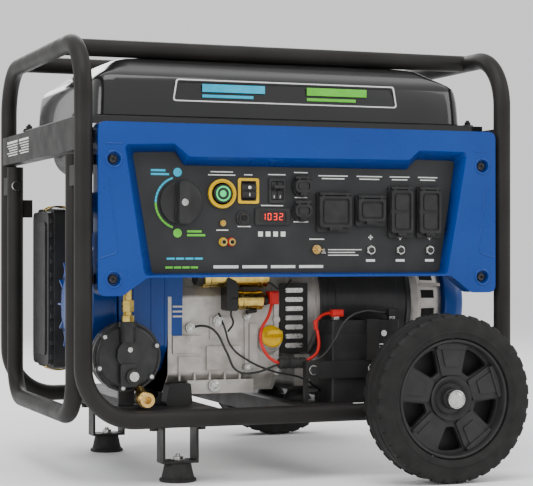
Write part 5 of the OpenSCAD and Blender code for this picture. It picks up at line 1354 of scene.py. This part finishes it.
# ---------------------------------------------------------------- reset buttons and ground post
# Push-to-reset breakers with knurled nuts, black buttons and white centres, and the
# brass ground post with its wing nut.
collar = bmesh.new()
RESET_Z = 371
for x in RESET_X:
    rod(collar, (x, -264.8, RESET_Z), (x, FACE_Y, RESET_Z), 8.1, sides=6)
    lathe(collar, [(-264.6, 4.6), (-264.6, 7), (-266.6, 7), (-267, 6.4), (-267, 4.6)],
        (x, 0, RESET_Z), (0, 1, 0), 40, closed=True)
make_piece("reset_collars", collar, bright_zinc_and_highlight, "frame", edge=0.3,
    stands_for=("breaker_collars",))
for name, x in zip(("left", "middle", "right"), RESET_X):
    push = bmesh.new()
    lathe(push, [(-259, 0), (-259, 4.4), (-269, 4.4), (-269.9, 3.6), (-270, 0)], (x, 0, RESET_Z),
        (0, 1, 0), 32)
    make_piece("reset_push_" + name, push, black_moulding, "reset_" + name,
        stands_for=("reset_button_" + name,))
post = bmesh.new()
post_low, post_high = seat("ground_terminal")
post_x, post_z = (post_low.x + post_high.x) / 2, (post_low.z + post_high.z) / 2
lathe(post, [(FACE_Y, 0), (FACE_Y, 7.6), (-263.4, 7.6), (-263.4, 6), (-268, 5.6), (-268, 3),
    (post_low.y + 0.6, 3), (post_low.y, 2.2), (post_low.y, 0)], (post_x, 0, post_z), (0, 1, 0), 32)
for side in (-1, 1):
    brick(post, (post_x + side * 6 - 3.2, -269.4, post_z - 1),
        (post_x + side * 6 + 3.2, -263.4, post_z + 1), Matrix.Rotation(side * 0.3, 4, "Z"))
make_piece("ground_post", post, brass, "frame", edge=0.4, stands_for=("ground_terminal",))

# ---------------------------------------------------------------- floor, light and camera
# A pale floor that fades into the background, one large soft lamp above, two weaker side
# lamps, and a camera looking at the control panel from the front left.
studio_paper = bpy.data.materials.new("studio_paper")
studio_paper.use_nodes = True
set_input(studio_paper, "Base Color", (0.97, 0.97, 0.97, 1))
set_input(studio_paper, "Roughness", 0.9)
paper = bmesh.new()
edge_line = [paper.verts.new((-14, 6, 0)), paper.verts.new((14, 6, 0))]
edge_line = [paper.edges.new(edge_line)]
strip = bmesh.ops.extrude_edge_only(paper, edges=edge_line)["geom"]
bmesh.ops.translate(paper, vec=(0, -12, 0), verts=verts_of(strip))
floor_mesh = bpy.data.meshes.new("studio_floor")
paper.to_mesh(floor_mesh)
paper.free()
floor_mesh.materials.append(studio_paper)
studio_floor = bpy.data.objects.new("studio_floor", floor_mesh)
bpy.context.scene.collection.objects.link(studio_floor)

sky = bpy.data.worlds.new("studio_light")
sky.use_nodes = True
sky.node_tree.nodes["Background"].inputs["Color"].default_value = (1, 1, 1, 1)
sky.node_tree.nodes["Background"].inputs["Strength"].default_value = 1.0
bpy.context.scene.world = sky

for name, spot, size, power in (("top_lamp", (-0.6, -1.2, 3.2), 2.4, 70),
        ("left_lamp", (-3.2, -1.6, 1.5), 1.6, 38), ("right_lamp", (2.6, -2.2, 1.8), 1.6, 26),
        ("rear_lamp", (0.4, 3.0, 2.2), 2.0, 40)):
    light = bpy.data.lights.new(name, "AREA")
    light.size = size
    light.energy = power
    lamp = bpy.data.objects.new(name, light)
    lamp.location = spot
    lamp.rotation_euler = (Vector((0, 0, 0.35)) - Vector(spot)).to_track_quat("-Z", "Y").to_euler()
    bpy.context.scene.collection.objects.link(lamp)

lens = bpy.data.cameras.new("front_left_view")
lens.lens = 112.13
lens.sensor_width = 36
camera = bpy.data.objects.new("front_left_view", lens)
camera.location = (-1.01385, -2.7595, 0.3713)
camera.rotation_euler = (math.radians(90.24), 0, math.radians(-20.91))
bpy.context.scene.collection.objects.link(camera)
bpy.context.scene.camera = camera
